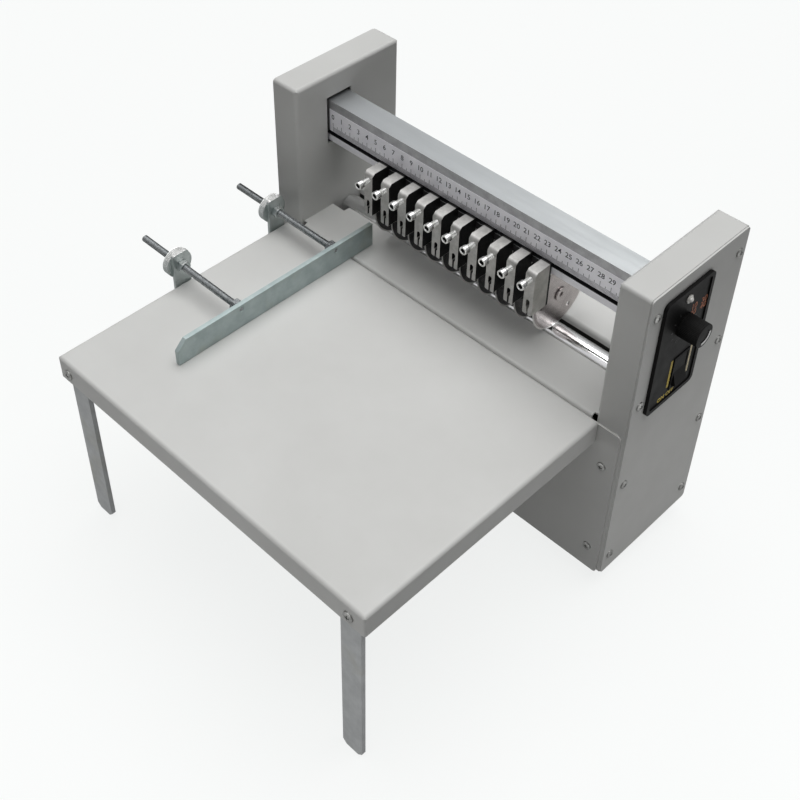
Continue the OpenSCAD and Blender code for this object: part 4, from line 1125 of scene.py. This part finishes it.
def make_switch_print(face):
    """The rocker's raised frame, the coloured bars on both sides of it and the words below it."""
    low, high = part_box("rocker_switch")
    middle = (low + high) / 2
    half_y, half_z = SWITCH_OPENING[0] / 2, SWITCH_OPENING[1] / 2
    rim_y, rim_z = half_y + SWITCH_FRAME, half_z + SWITCH_FRAME
    rim = block("switch_frame", (face, middle.y - rim_y, middle.z - rim_z),
                (face + SWITCH_FRAME_THICK, middle.y + rim_y, middle.z + rim_z))
    hole = block("hole", (face - SWITCH_CUT, middle.y - half_y, middle.z - half_z),
                 (face + SWITCH_CUT, middle.y + half_y, middle.z + half_z))
    combine(rim, hole, "DIFFERENCE")
    finish(shade(ease(rim, SWITCH_FRAME_EDGE)), "rocker_plastic", "machine_body", "black_plastic")

    for name, side, ink in (("switch_bar_front", -1, "yellow_ink"), ("switch_bar_back", 1, "cream_ink")):
        y = middle.y + side * SWITCH_BAR_AT
        bar = block(name, (face, y - SWITCH_BAR_HALF, low.z + SWITCH_BAR_LIFT),
                    (face + PRINT_THICK, y + SWITCH_BAR_HALF, high.z + SWITCH_BAR_LIFT))
        finish(ease(bar, SWITCH_BAR_EDGE, 1), ink, "machine_body", "black_plastic")

    words = lettering("switch_words", "ON OFF", (face, middle.y - SWITCH_BAR_AT, low.z - SWITCH_WORDS_DOWN),
                      SWITCH_WORDS_SIZE, "+X", PRINT_THICK, SWITCH_WORDS_BOLD)
    finish(words, "yellow_ink", "machine_body", "black_plastic")


def make_controls():
    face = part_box("control_panel")[1].x - PANEL_RECESS
    make_knob()
    make_dial_print(face)
    make_switch_print(face)


def make_inlet_pins():
    """The three blades inside the power inlet."""
    low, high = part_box("power_inlet")
    middle = (low + high) / 2
    pins = []
    for across, up in PIN_PLACES:
        x, z = middle.x + across, middle.z + up
        pins.append(block("pin", (x - PIN_HALF_WIDTH, low.y + PIN_FRONT_INSET, z - PIN_HALF_HEIGHT),
                          (x + PIN_HALF_WIDTH, high.y - PIN_BACK_INSET, z + PIN_HALF_HEIGHT)))
    pin_set = ease(join(pins, "inlet_pins"), PIN_EDGE)
    finish(shade(pin_set), "screw_steel", "machine_body", "screw_steel")


# Stage

def times_plus(nodes, links, factor, times, plus):
    """A node that multiplies a socket and adds to it; times and plus are numbers or sockets."""
    node = nodes.new("ShaderNodeMath")
    node.operation = "MULTIPLY_ADD"
    for place, value in enumerate((factor, times, plus)):
        if isinstance(value, bpy.types.NodeSocket):
            links.new(value, node.inputs[place])
        else:
            node.inputs[place].default_value = value
    return node.outputs[0]


def floor_finish():
    """A pale floor: the camera sees it glow, mirrors see it dimmer, and its grey takes the shadow."""
    material, shader = new_finish("pale_floor", (FLOOR_GREY,) * 3, 0.9)
    nodes, links = material.node_tree.nodes, material.node_tree.links
    path = nodes.new("ShaderNodeLightPath")
    mirrored = times_plus(nodes, links, path.outputs["Is Glossy Ray"], FLOOR_GLOW_IN_GLOSS, 0)
    glow = times_plus(nodes, links, path.outputs["Is Camera Ray"], FLOOR_GLOW, mirrored)
    shader.inputs["Specular IOR Level"].default_value = 0
    shader.inputs["Emission Color"].default_value = (*FLOOR_TINT, 1)
    links.new(glow, shader.inputs["Emission Strength"])
    return material


def make_floor():
    deselect()
    bpy.ops.mesh.primitive_plane_add(size=FLOOR_SIZE)
    floor = bpy.context.object
    floor.name = "floor"
    floor.data.materials.append(floor_finish())


def make_sky():
    """A dim even sky: the camera sees it white, and mirrors see it brighter towards the top."""
    world = bpy.data.worlds.new("studio")
    bpy.context.scene.world = world
    world.use_nodes = True
    nodes, links = world.node_tree.nodes, world.node_tree.links
    path = nodes.new("ShaderNodeLightPath")
    coordinates = nodes.new("ShaderNodeTexCoord")
    height = nodes.new("ShaderNodeSeparateXYZ")
    links.new(coordinates.outputs["Generated"], height.inputs[0])
    mirrored = nodes.new("ShaderNodeMapRange")
    mirrored.inputs["From Max"].default_value = SKY_FULL_FROM
    mirrored.inputs["To Min"].default_value, mirrored.inputs["To Max"].default_value = SKY_IN_GLOSS
    links.new(height.outputs["Z"], mirrored.inputs["Value"])
    seen = times_plus(nodes, links, path.outputs["Is Camera Ray"], SKY_SEEN, SKY_GREY)
    level = times_plus(nodes, links, path.outputs["Is Glossy Ray"], mirrored.outputs["Result"], seen)
    links.new(level, nodes["Background"].inputs["Strength"])
    nodes["Background"].inputs["Color"].default_value = (*SKY_TINT, 1)


def soft_light(name, place, axis, size, power):
    """A flat light that shines along -X or +Y."""
    deselect()
    bpy.ops.object.light_add(type="AREA", location=place, rotation=AXIS_TURN[axis])
    light = bpy.context.object
    light.name = name
    light.data.shape = "RECTANGLE"
    light.data.size, light.data.size_y = size
    light.data.energy = power


def make_lights():
    deselect()
    bpy.ops.object.light_add(type="SUN", rotation=(-SUN_FROM_BEHIND, 0, 0))
    sun = bpy.context.object
    sun.name = "top_light"
    sun.data.energy = SUN_STRENGTH
    sun.data.angle = SUN_SPREAD
    soft_light("side_light", SIDE_LIGHT_AT, "X", SIDE_LIGHT_SIZE, SIDE_LIGHT_POWER)
    soft_light("front_light", FRONT_LIGHT_AT, "Y", FRONT_LIGHT_SIZE, FRONT_LIGHT_POWER)


def make_camera():
    level = math.cos(CAMERA_ELEVATION)
    right = Vector((math.cos(CAMERA_AZIMUTH), math.sin(CAMERA_AZIMUTH), 0))
    back = Vector((right.y * level, -right.x * level, math.sin(CAMERA_ELEVATION)))
    up = back.cross(right)
    turn = Matrix((right, up, back)).transposed() @ Matrix.Rotation(CAMERA_ROLL, 3, "Z")
    data = bpy.data.cameras.new("camera")
    camera = bpy.data.objects.new("camera", data)
    bpy.context.scene.collection.objects.link(camera)
    camera.matrix_world = Matrix.Translation(CAMERA_AT) @ turn.to_4x4()
    data.lens = CAMERA_LENS
    data.sensor_width = CAMERA_SENSOR
    data.shift_x, data.shift_y = CAMERA_SHIFT
    data.clip_start = CAMERA_NEAR
    bpy.context.scene.camera = camera


def dress_cad_nodes():
    """Gives every CAD node its own finish or that of its slot."""
    for node, piece in frame["nodes"].items():
        piece.data.materials.clear()
        piece.data.materials.append(FINISH[OWN_FINISH.get(node, SLOT_OF[node])])


bpy.context.scene.view_settings.view_transform = "Standard"
make_finishes()
dress_cad_nodes()
make_camera()
make_floor()
make_sky()
make_lights()
make_bar()
make_ruler()
make_guide()
make_legs()
make_knives()
make_controls()
make_inlet_pins()
